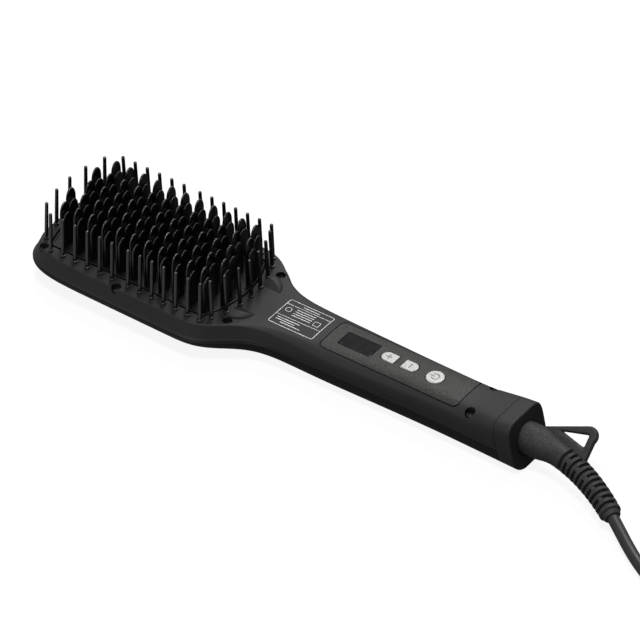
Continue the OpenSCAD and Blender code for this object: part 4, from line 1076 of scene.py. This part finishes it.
def tooth_mesh(name, at, w, t, low, high, rise, r):
    """One upright tooth with rounded edges, its middle at u = at."""
    rows = []
    for sign in (-1, 1):
        rim = [(t / 2 + forward, inward) for forward, inward in quarter(r, 3)]
        for forward, inward in (reversed(rim) if sign < 0 else rim):
            outline = arch(w - 2 * inward, low, high - inward, rise - inward)
            rows.append([(at + sign * forward, y, z) for y, z in outline])
    return shade(new_mesh(name, *loft(rows)), 40)


def placed_on_body(piece, height=0.0):
    piece.data.transform(Matrix.Translation((PAD_X * MM, 0, height * MM)))
    return piece


def make_teeth():
    """The heated plate with its fins, and the comb of guard leaves that stand behind them."""
    tree = tooth_tree()
    plate_top, plate_under = DECK_Z - 0.6, DECK_Z - 2.1
    leaf_at, fin_at = -TOOTH_GAP - LEAF_T / 2, TOOTH_GAP + FIN_T / 2
    leaf = tooth_mesh("leaf", leaf_at, LEAF_W, LEAF_T, plate_under - 0.5, DECK_Z + LEAF_H, LEAF_ARCH,
                      LEAF_EDGE_R)
    fin = tooth_mesh("fin", fin_at, FIN_W, FIN_T, plate_top - 0.3, DECK_Z + FIN_H, FIN_ARCH, FIN_EDGE_R)
    slot = tooth_mesh("slot", leaf_at, LEAF_W + 2 * TOOTH_GAP, LEAF_T + 2 * TOOTH_GAP, plate_under - 1,
                      plate_top + 6, 2.0, 0.05)
    empty = bpy.data.meshes.new("no_base")
    nylon, coating = finishes["comb_black"], finishes["coated_metal"]
    leaves = grow("guard_leaves", tree, empty, Piece=leaf, Finish=nylon, Outer_drop=OUTER_DROP * MM)
    fins = grow("heated_fins", tree, empty, Piece=fin, Finish=coating)
    slots = placed_on_body(grow("slots", tree, empty, Piece=slot, Finish=nylon))
    for piece in (leaf, fin, slot):
        bpy.data.objects.remove(piece)
    plate = cut(prism("heater_plate_face", pad_outline(PAD_GAP), plate_under, plate_top), [slots])
    bead = [(0, plate_under), (0, DECK_Z - 0.35), (0.1, DECK_Z - 0.1), (0.35, DECK_Z), (0.6, DECK_Z - 0.1),
            (0.7, DECK_Z - 0.35), (0.7, plate_under)]
    rings = [[(u, y, z) for u, y in pad_outline(PAD_GAP + inward)] for inward, z in bead]
    rim = closed_loft("heater_plate_rim", rings, ON_BODY)
    dress(placed_on_body(leaves), "comb_black", replaces=["leaf_comb"])
    dress(placed_on_body(fins), "coated_metal")
    dress(shade(plate), "coated_metal", replaces=["heater_plate"])
    # The rim's paler metal finish is a painted highlight along the plate's bead.
    dress(shade(rim, 60), "coated_metal", finish=rim_painted_highlight)


def pin_places():
    """Every guard pin's (u, y) and the way it points outwards: two groups on each side, and both ends."""
    half, far = PAD_W / 2, 43.8
    tip_side, handle_side = -7.2, 2.2
    sides = [tip_side + (-far + 0.3 - tip_side) * i / 5 for i in range(6)]
    sides += [handle_side + (far - handle_side) * i / 6 for i in range(7)]
    places = [((u, side * (half + PIN_OFF)), (0, side)) for u in sides for side in (-1, 1)]
    tip_pins, handle_pins = (0.435, 0.87), (0.308, 0.632, 0.917)
    for way, shares, spread in ((-1, tip_pins, 60), (1, handle_pins, 50)):
        for share in (*(-s for s in reversed(shares)), 0, *shares):
            y = share * half
            reach = PAD_REACH[way] - PAD_END_R[way] + math.sqrt((PAD_END_R[way] + PIN_OFF) ** 2 - y * y)
            places.append(((way * reach, y), (way, y / spread)))
    return places


def points_mesh(name, places, turns):
    mesh = bpy.data.meshes.new(name)
    mesh.from_pydata([tuple(v * MM for v in p) for p in places], [], [])
    turn = mesh.attributes.new("turn", "FLOAT_VECTOR", "POINT")
    for item, angles in zip(turn.data, turns):
        item.vector = angles
    return mesh


def make_pins(tree):
    """Guard pins, each with a low collar and a round tip, that lean outwards."""
    r, tip_r, wide, high = PIN_D / 2, 0.88 * PIN_D / 2, 0.35, 1.05
    collar = [(0, 0.02), (r + wide, 0.02), (r + wide, high - 0.05), (r + wide - 0.05, high), (r, high)]
    dome = arc((0, PIN_H - tip_r), tip_r, 0, 90, 6)
    pin = shade(lathe("pin", collar + [(0.96 * r, PIN_H / 2)] + dome), 50)
    lean = math.atan2(PIN_LEAN, PIN_H)
    places = pin_places()
    mesh = points_mesh("pin_places", [(u + PAD_X, y, DECK_Z) for (u, y), _ in places],
                       [(0, -lean, math.atan2(way[1], way[0])) for _, way in places])
    pins = grow("guard_pin_row", tree, mesh, Piece=pin, Finish=finishes["pin_black"])
    bpy.data.objects.remove(pin)
    dress(pins, "pin_black", replaces=["guard_pins"])


def make_screws(tree):
    """Cross-head screws at the bottom of their wells."""
    head = [(0, -6), (1.1, -6), (1.1, 0), (2.1, 0), (2.1, 0.7), (1.9, 1.15), (1.3, 1.5), (0.6, 1.6), (0, 1.6)]
    bar_w, bar_l, bar_low = 0.55, 2.4, 0.7
    screw = lathe("screw", head, 32)
    cross = []
    for w, l in ((bar_w, bar_l), (bar_l, bar_w)):
        outline = [(-w / 2, -l / 2), (w / 2, -l / 2), (w / 2, l / 2), (-w / 2, l / 2)]
        bar = prism("cutter", outline, bar_low, 3)
        bar.data.transform(Matrix.Translation((-PAD_X * MM, 0, 0)))
        cross.append(bar)
    shade(cut(screw, cross))
    for name, at in (("head_screws", SCREW_AT[:3]), ("handle_screws", SCREW_AT[3:])):
        places = [(u + PAD_X, y, screw_top(u) - WELL_DEEP + 0.02) for u, y in mirrored(at)]
        mesh = points_mesh(name, places, [(0, 0, 0.7 * i) for i in range(len(places))])
        row = grow(name + "_row", tree, mesh, Piece=screw, Finish=finishes["screw_black"])
        dress(row, "screw_black", replaces=[name])
    bpy.data.objects.remove(screw)


# ---- ion outlet hoods ----

# Start and length along u, the inner flank, the outer flank and the crest counted from it, and the height.
HOOD_U, HOOD_L, HOOD_IN, HOOD_OUT, HOOD_CREST, HOOD_H = 51.8, 9.7, 8.99, 9.3, 4.8, 2.4


def hood_section(t, side):
    """Section of a hood at a share of its length: a steep inner flank, a crest and a round outer flank."""
    c = max(0.05, math.sqrt(max(0, 1 - t * t)))
    crest, out, high = HOOD_IN + HOOD_CREST * c ** 1.2, HOOD_IN + HOOD_OUT * c, HOOD_H * c ** 1.6 + 0.02
    foot = HOOD_IN + 0.3
    inner = [(foot + (crest - 0.25 * c - foot) * k, 0.94 * high * k) for k in (0, 0.35, 0.7, 0.93, 1)]
    turns = [math.radians(a) for a in range(84, -1, -12)]
    outer = [(crest + (out - crest) * math.cos(a), high * math.sin(a)) for a in turns]
    return [(HOOD_U + HOOD_L * t, side * y, DECK_Z + z) for y, z in inner + outer]


def make_hoods():
    """The two ion outlets: low hoods that open towards the teeth by a slot."""
    for side, place in ((-1, "near"), (1, "far")):
        rows = [hood_section(math.sin(math.pi / 2 * i / 18), side) for i in range(19)]
        hood = new_mesh("outlet_hood_" + place, *loft(rows), ON_BODY)
        y = side * (HOOD_IN + 4)
        slot = [(HOOD_U - 1, y - 1.4), (HOOD_U + 3, y - 1.4), (HOOD_U + 3, y + 1.4), (HOOD_U - 1, y + 1.4)]
        cut(hood, [prism("cutter", slot, DECK_Z + 0.15, DECK_Z + 1.05)])
        dress(shade(hood, 38), "shell_black")
    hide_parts("outlet_hoods")


# ---- cord guard ----

ELBOW_D, RIB_D, RIBS = 15.4, 11.6, 11
RIB_STEP = 3.4 * 0.86
RIB_X = GUARD_END - 2 - RIBS * RIB_STEP
RIB_DEEP = 1.5
BRIDGE = math.radians(28)           # half of the angle that a bridge between two ribs takes up
LOOP_LEAN, LOOP_T, LOOP_CORNER = math.radians(40), 3.2, 4.6
LOOP_FOOT, LOOP_WAY = FACE_X + 17.16, FACE_X + 20.66
LOOP_BAR, LOOP_EDGE_R, HOLE_CORNER = 3.4, 1.2, 1.0


def guard_radius(x):
    """Radius of the smooth elbow, from inside the end cap to the first rib."""
    r = ELBOW_D / 2
    stations = [(FACE_X - 6, r), (FACE_X + 5, r - 0.1), (FACE_X + 9, r - 0.6), (FACE_X + 13, r - 1.4),
                (FACE_X + 16.5, RIB_D / 2 + 0.1), (RIB_X - 0.6, RIB_D / 2)]
    return smooth_through(stations, x)


def guard_ring(x, radius_at, sides=64):
    """A ring round the guard's middle line. radius_at gives its radius at an angle, or is the radius."""
    along = guard_direction(x)
    across = along.cross(Vector((0, 0, 1))).normalized()
    up = across.cross(along)
    ring = []
    for k in range(sides):
        a = math.tau * k / sides
        r = radius_at(a) if callable(radius_at) else radius_at
        ring.append(tuple(guard_point(x) + r * (math.cos(a) * across + math.sin(a) * up)))
    return ring


def groove_radius(i, core, full):
    """A groove is open except at two bridges, which stand a quarter turn further at every second rib."""
    def radius_at(a):
        turn = (a + math.pi / 2 * (i % 2) + math.pi / 4) % math.pi
        return full if turn < BRIDGE else core
    return radius_at


def guard_rows():
    """The elbow, then for each rib a groove and a rim with rounded edges, then the end round the cord."""
    rows = [guard_ring(x, guard_radius(x)) for x in np.linspace(FACE_X - 6, RIB_X - 0.6, 40).tolist()]
    groove = (0, 0.36)
    rim = ((0.42, 0.2), (0.46, 0.04), (0.52, 0), (0.84, 0), (0.9, 0.04), (0.94, 0.2))
    for i in range(RIBS):
        x, full = RIB_X + i * RIB_STEP, RIB_D / 2 * (1 - 0.012 * i)
        open_at = groove_radius(i, full - RIB_DEEP, full - 0.12)
        rows += [guard_ring(x + RIB_STEP * share, open_at) for share in groove]
        rows += [guard_ring(x + RIB_STEP * share, full - inward) for share, inward in rim]
    cord_r = CORD_D / 2
    for back, r in ((1.9, RIB_D / 2 - 1.7), (0.6, cord_r + 1.2), (0, cord_r + 0.7), (0, cord_r - 0.1)):
        rows.append(guard_ring(GUARD_END - back, r))
    return rows


def loop_section():
    """Section of the loop's bar, as (share of the way from its outside to its hole, height) points."""
    r = LOOP_EDGE_R
    section = []
    for turn in range(4):
        for k in range(6):
            a = math.radians(90 * turn + 18 * k)
            across = (1 if turn in (0, 3) else -1) * (0.5 - r / LOOP_BAR) + r / LOOP_BAR * math.cos(a)
            high = (1 if turn in (0, 1) else -1) * (LOOP_T / 2 - r) + r * math.sin(a)
            section.append((0.5 - across, high))
    return section


def loop_rows():
    """The hanging loop's rounded bar: outlines that pass from its outside to its hole and back."""
    lean = math.degrees(math.atan2(13.4, 21.8))
    outside_turn = arc((6.6, 14.4), LOOP_CORNER, 90 + lean, -12, 12)
    hole_turn = arc((6.2, 13.7), HOLE_CORNER, 90 + lean, -12, 12)
    outer = [(-16, 3.4), (-15, 5.4), *outside_turn, (13.2, 5), (13.2, 3.4)]
    inner = [(-4.4, 9.1), (-5.2, 9.3), *hole_turn, (8.2, 9.7), (7.6, 9.1)]
    along = guard_direction(LOOP_WAY)
    side = Vector((0, 0, 1)).cross(along).normalized()
    up = math.cos(LOOP_LEAN) * side + math.sin(LOOP_LEAN) * along.cross(side)
    out = along.cross(up)
    middle = guard_point(LOOP_FOOT)
    pairs = list(zip(fill_in(outer), fill_in(inner)))
    return [[tuple(middle + (p[0] + (q[0] - p[0]) * share) * along + (p[1] + (q[1] - p[1]) * share) * up
                   + high * out) for p, q in pairs] for share, high in loop_section()]


def fill_in(outline, steps=5):
    """Adds points along an outline's sides, so that a blend between two outlines stays even."""
    filled = []
    for i, p in enumerate(outline):
        q = outline[(i + 1) % len(outline)]
        filled += [(p[0] + (q[0] - p[0]) * k / steps, p[1] + (q[1] - p[1]) * k / steps) for k in range(steps)]
    return filled


def make_guard():
    """Smooth elbow, hanging loop and slotted ribs in one moulding. Its ribbed end is drawn bent along the
    guard's route, where the cord leaves it.
    """
    guard = new_mesh("cord_guard_rubber", *loft(guard_rows()))
    cut(guard, [closed_loft("loop", loop_rows())], "UNION")
    shade(guard, 42)
    guard.data.materials.clear()
    guard.data.materials.append(finishes["guard_rubber"])
    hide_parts("cord_boot")
    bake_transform(guard)
    return guard


# ---- cord, strap and plug ----


def smooth_path(points, steps=6):
    """A Catmull-Rom curve through the points."""
    made = []
    n = len(points)
    for i in range(n - 1):
        p0, p1, p2, p3 = (Vector(points[max(0, min(n - 1, k))]) for k in (i - 1, i, i + 1, i + 2))
        for k in range(steps):
            t = k / steps
            made.append(0.5 * (2 * p1 + (p2 - p0) * t + (2 * p0 - 5 * p1 + 4 * p2 - p3) * t * t
                               + (3 * p1 - p0 - 3 * p2 + p3) * t ** 3))
    return made + [Vector(points[-1])]


def make_cord():
    path = [p * MM for p in smooth_path(cord_route(), 4)]
    curve = bpy.data.curves.new("cord", "CURVE")
    curve.dimensions = "3D"
    curve.bevel_depth = CORD_D / 2 * MM
    curve.bevel_resolution = 5
    curve.use_fill_caps = True
    spline = curve.splines.new("POLY")
    spline.points.add(len(path) - 1)
    for point, at in zip(spline.points, path):
        point.co = (*at, 1)
    spline.use_smooth = True
    cord = new_object("cord", curve)
    curve.materials.append(finishes["cord_pvc"])
    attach(cord, BRUSH)
    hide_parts("cord_lead", "cord_coil", "cord_tail")
    length = sum((b - a).length for a, b in zip(path, path[1:]))
    return cord, path[0], length


def make_strap():
    """A woven strap round the coil's bundle, and its loose end on top."""
    inside = COIL_IN - CORD_D / 2 - 0.2
    outside = COIL_IN + COIL_PITCH * COIL_TURNS / 2 + CORD_D / 2 + 0.2
    x0, x1, z0, z1, r = COIL_AT[0] - outside, COIL_AT[0] - inside, 0.25, 12.75, 2.6
    path = round_box(x0, x1, z0, z1, r)
    edge = [(-STRAP_W / 2, 0), (-STRAP_W / 2 + 0.05, 0.16), (-STRAP_W / 2 + 0.2, STRAP_T / 2)]
    upper = edge + [(-y, t) for y, t in reversed(edge)]
    section = upper + [(y, -t) for y, t in reversed(upper[1:-1])]
    rows = []
    for i, (x, z) in enumerate(path):
        a, b = path[i - 1], path[(i + 1) % len(path)]
        out = Vector((b[1] - a[1], 0, a[0] - b[0])).normalized()
        rows.append([(x + out.x * t, COIL_AT[1] + y, z + out.z * t) for y, t in section])
    strap = closed_loft("coil_strap", rows)
    dress(shade(strap, 50), "tie_black", replaces=["cord_tie"])
    end_r, end_t = 2.4, 0.3
    end = arc((x0 + 17, COIL_AT[1]), end_r, -90, 90, 12)
    end += [(x0 + 5, COIL_AT[1] + end_r), (x0 + 5, COIL_AT[1] - end_r)]
    flap = new_mesh("coil_strap_end", *loft([[(x, y, z1 + 0.21 + z) for x, y in end] for z in (0, end_t)]))
    dress(shade(soften(flap, 0.1)), "tie_black")
    return [strap, flap]


def plug_ring(s):
    """Outline of the plug's moulding at a distance s from the cord's end: it widens from a ribbed round neck
    to a flat body with fluted sides and a rounded end."""
    stations = [(0, 8.0, 8.0), (1, 8.6, 8.2), (10, 11.5, 8.6), (13.5, 19, 9.2), (17, PLUG_W - 0.2, PLUG_H),
                (28, PLUG_W, PLUG_H), (29.2, PLUG_W - 0.4, PLUG_H - 0.4), (29.8, PLUG_W - 1.2, PLUG_H - 1.2),
                (PLUG_L, PLUG_W - 2.2, PLUG_H - 2.2)]
    place, widths, heights = zip(*stations)
    w, h = float(np.interp(s, place, widths)), float(np.interp(s, place, heights))
    neck = 0.45 * max(0.0, math.sin(math.tau * s / 2.2)) if 1.5 < s < 11 else 0.0
    flute = 0.35 * max(0.0, math.sin(math.tau * s / 1.8)) if 18 < s < 26 else 0.0
    n = 2 + 2.4 * float(ramp((s - 9) / 6))
    ring = []
    for k in range(48):
        a = math.tau * (k + 0.5) / 48
        c, d = math.cos(a), math.sin(a)
        y = math.copysign(abs(c) ** (2 / n), c) * (w / 2 - neck - flute * abs(c) ** 6)
        z = math.copysign(abs(d) ** (2 / n), d) * (h / 2 - neck)
        ring.append((PLUG_AT[0] - s, PLUG_AT[1] + y, PLUG_AT[2] + z))
    return ring


def make_blade(name, side):
    """A flat blade with two round corners and a hole near its end."""
    x1, x0 = PLUG_AT[0] - PLUG_L + 0.5, PLUG_AT[0] - PLUG_L - BLADE_L
    y, z, half = PLUG_AT[1] + side * BLADE_SPACE / 2, PLUG_AT[2], BLADE_H / 2
    outline = [(x1, z - half), (x1, z + half)] + arc((x0 + BLADE_R, z + half - BLADE_R), BLADE_R, 90, 180, 6)
    outline += arc((x0 + BLADE_R, z - half + BLADE_R), BLADE_R, 180, 270, 6)
    rows = [[(x, y + t, level) for x, level in outline] for t in (-BLADE_T / 2, BLADE_T / 2)]
    blade = new_mesh(name, *loft(rows))
    hole = [[(x, y + t, level) for x, level in disc((x0 + 4.2, z), 3.2, 24)] for t in (-2, 2)]
    cut(blade, [new_mesh("cutter", *loft(hole))])
    return dress(shade(soften(blade, 0.2)), "blade_nickel")


def make_plug():
    """Moulded plug with two flat blades."""
    body = new_mesh("plug_moulding", *loft([plug_ring(PLUG_L * step / 90) for step in range(91)]))
    dress(shade(body, 40), "cord_pvc", replaces=["plug_body"])
    blades = [make_blade("plug_blade_near", -1), make_blade("plug_blade_far", 1)]
    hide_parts("plug_blades")
    return [body, *blades]


# ---- the solids that stay as they are ----


def smoothing_tree(angle=30):
    """Shades a solid smooth, except at edges sharper than the angle."""
    tree, given, end = new_tree("smooth_faces", [("Angle", "NodeSocketFloat", math.radians(angle))])
    smooth = add(tree, "GeometryNodeSetShadeSmooth", {"Geometry": given["Geometry"], "Shade Smooth": True},
                 domain="FACE")
    bend = add(tree, "GeometryNodeInputMeshEdgeAngle").outputs[0]
    sharp = maths(tree, "GREATER_THAN", bend, given["Angle"])
    edges = add(tree, "GeometryNodeSetShadeSmooth",
                {"Geometry": smooth.outputs[0], "Selection": sharp, "Shade Smooth": False}, domain="EDGE")
    tree.links.new(edges.outputs[0], end)
    return tree


def dress_solids():
    """Finishes for every solid of the frame, and welded, smooth faces for those that are shown."""
    tree = smoothing_tree()
    slots = {row["node"]: row["material_slot"] for row in frame["record"]["subparts"]}
    for name, node in frame["nodes"].items():
        node.data.materials.clear()
        node.data.materials.append(finishes[slots[name]])
        if not node.hide_render:
            weld = node.modifiers.new("weld", "WELD")
            weld.merge_threshold = 0.001 * MM
            node.modifiers.new("smooth", "NODES").node_group = tree


# ---- stage ----

ROOM_GLOW = 0.22        # strength of the room's light on matt faces


def make_floor():
    """A pale floor that shows as white, with part of the brush's soft shadow. Reflections see it as
    pale on the near side and as a dark card beyond the brush."""
    half, show_white = 6.0, 0.86
    card_from, card_to = -0.06, 0.03
    corners = [(-half, -half, 0), (half, -half, 0), (half, half, 0), (-half, half, 0)]
    mesh = bpy.data.meshes.new("floor")
    mesh.from_pydata(corners, [], [(0, 1, 2, 3)])
    floor = new_object("floor", mesh)
    material, tree, shader, place = new_material("Paper floor, pale", Roughness=0.9)
    paper = shades(tree, grain(tree, place, 40.0).outputs["Fac"], [(0.3, "#f2f2f2"), (0.7, "#f6f6f6")])
    glow = add(tree, "ShaderNodeEmission", {"Color": (1, 1, 1, 1), "Strength": 1.02}).outputs["Emission"]
    camera_ray = add(tree, "ShaderNodeLightPath").outputs["Is Camera Ray"]
    beyond = add(tree, "ShaderNodeSeparateXYZ", {"Vector": place}).outputs["Y"]
    card = shades(tree, levels(tree, beyond, card_from, card_to, 0, 1), [(0, "#b0b0b0"), (1, "#2c2c2c")])
    shown = add(tree, "ShaderNodeMix", {"Factor": camera_ray, "A": card, "B": paper}, data_type="RGBA")
    tree.links.new(shown.outputs["Result"], shader.inputs["Base Color"])
    share = maths(tree, "MULTIPLY", camera_ray, show_white)
    mix = add(tree, "ShaderNodeMixShader", {0: share, 1: shader.outputs["BSDF"], 2: glow})
    tree.links.new(mix.outputs[0], tree.nodes["Material Output"].inputs["Surface"])
    mesh.materials.append(material)


def make_light(name, at, size, watts):
    """A soft round lamp that points at the origin, with its place and size in metres."""
    data = bpy.data.lights.new(name, "AREA")
    data.shape, data.size, data.energy = "DISK", size, watts
    lamp = new_object(name, data)
    lamp.location = at
    lamp.rotation_euler = (-Vector(at)).to_track_quat("-Z", "Y").to_euler()


def make_world():
    """A soft room, white where the camera, glossy and transmitted rays see it."""
    world = bpy.data.worlds.new("room")
    bpy.context.scene.world = world
    world.use_nodes = True
    tree = world.node_tree
    tree.nodes.clear()
    rays = add(tree, "ShaderNodeLightPath").outputs
    seen = maths(tree, "MAXIMUM", rays["Is Camera Ray"], rays["Is Glossy Ray"])
    seen = maths(tree, "MAXIMUM", seen, rays["Is Transmission Ray"])
    strength = add(tree, "ShaderNodeMapRange", {"Value": seen, "To Min": ROOM_GLOW, "To Max": 1.0})
    background = add(tree, "ShaderNodeBackground", {"Color": (1, 1, 1, 1),
                                                    "Strength": strength.outputs["Result"]})
    add(tree, "ShaderNodeOutputWorld", {"Surface": background.outputs["Background"]})


finishes = make_materials()
# The rim's finish is a paler metal: a painted highlight on the plate's bead.
printed_grey, printed_white, rim_painted_highlight = sign_ink(), white_ink(), rim_highlight_metal()

make_camera()
cord, cord_exit, cord_length = make_cord()
guard = make_guard()
on_cord = [guard, *make_strap(), *make_plug()]
make_top_shell()
make_bottom_shell()
make_end_cap()
make_panel()
make_display()
make_keys()
make_printed_frame()
make_teeth()
point_tree = leaning_tree()
make_pins(point_tree)
make_screws(point_tree)
make_hoods()
dress_solids()

make_floor()
make_world()
make_light("window", (-0.5, 1.2, 1.9), 0.9, 32)
make_light("overhead", (0.2, -0.4, 1.85), 0.32, 20)
make_light("near", (-0.1, -1.35, 0.95), 0.3, 7)
bpy.context.scene.view_settings.view_transform = "Standard"
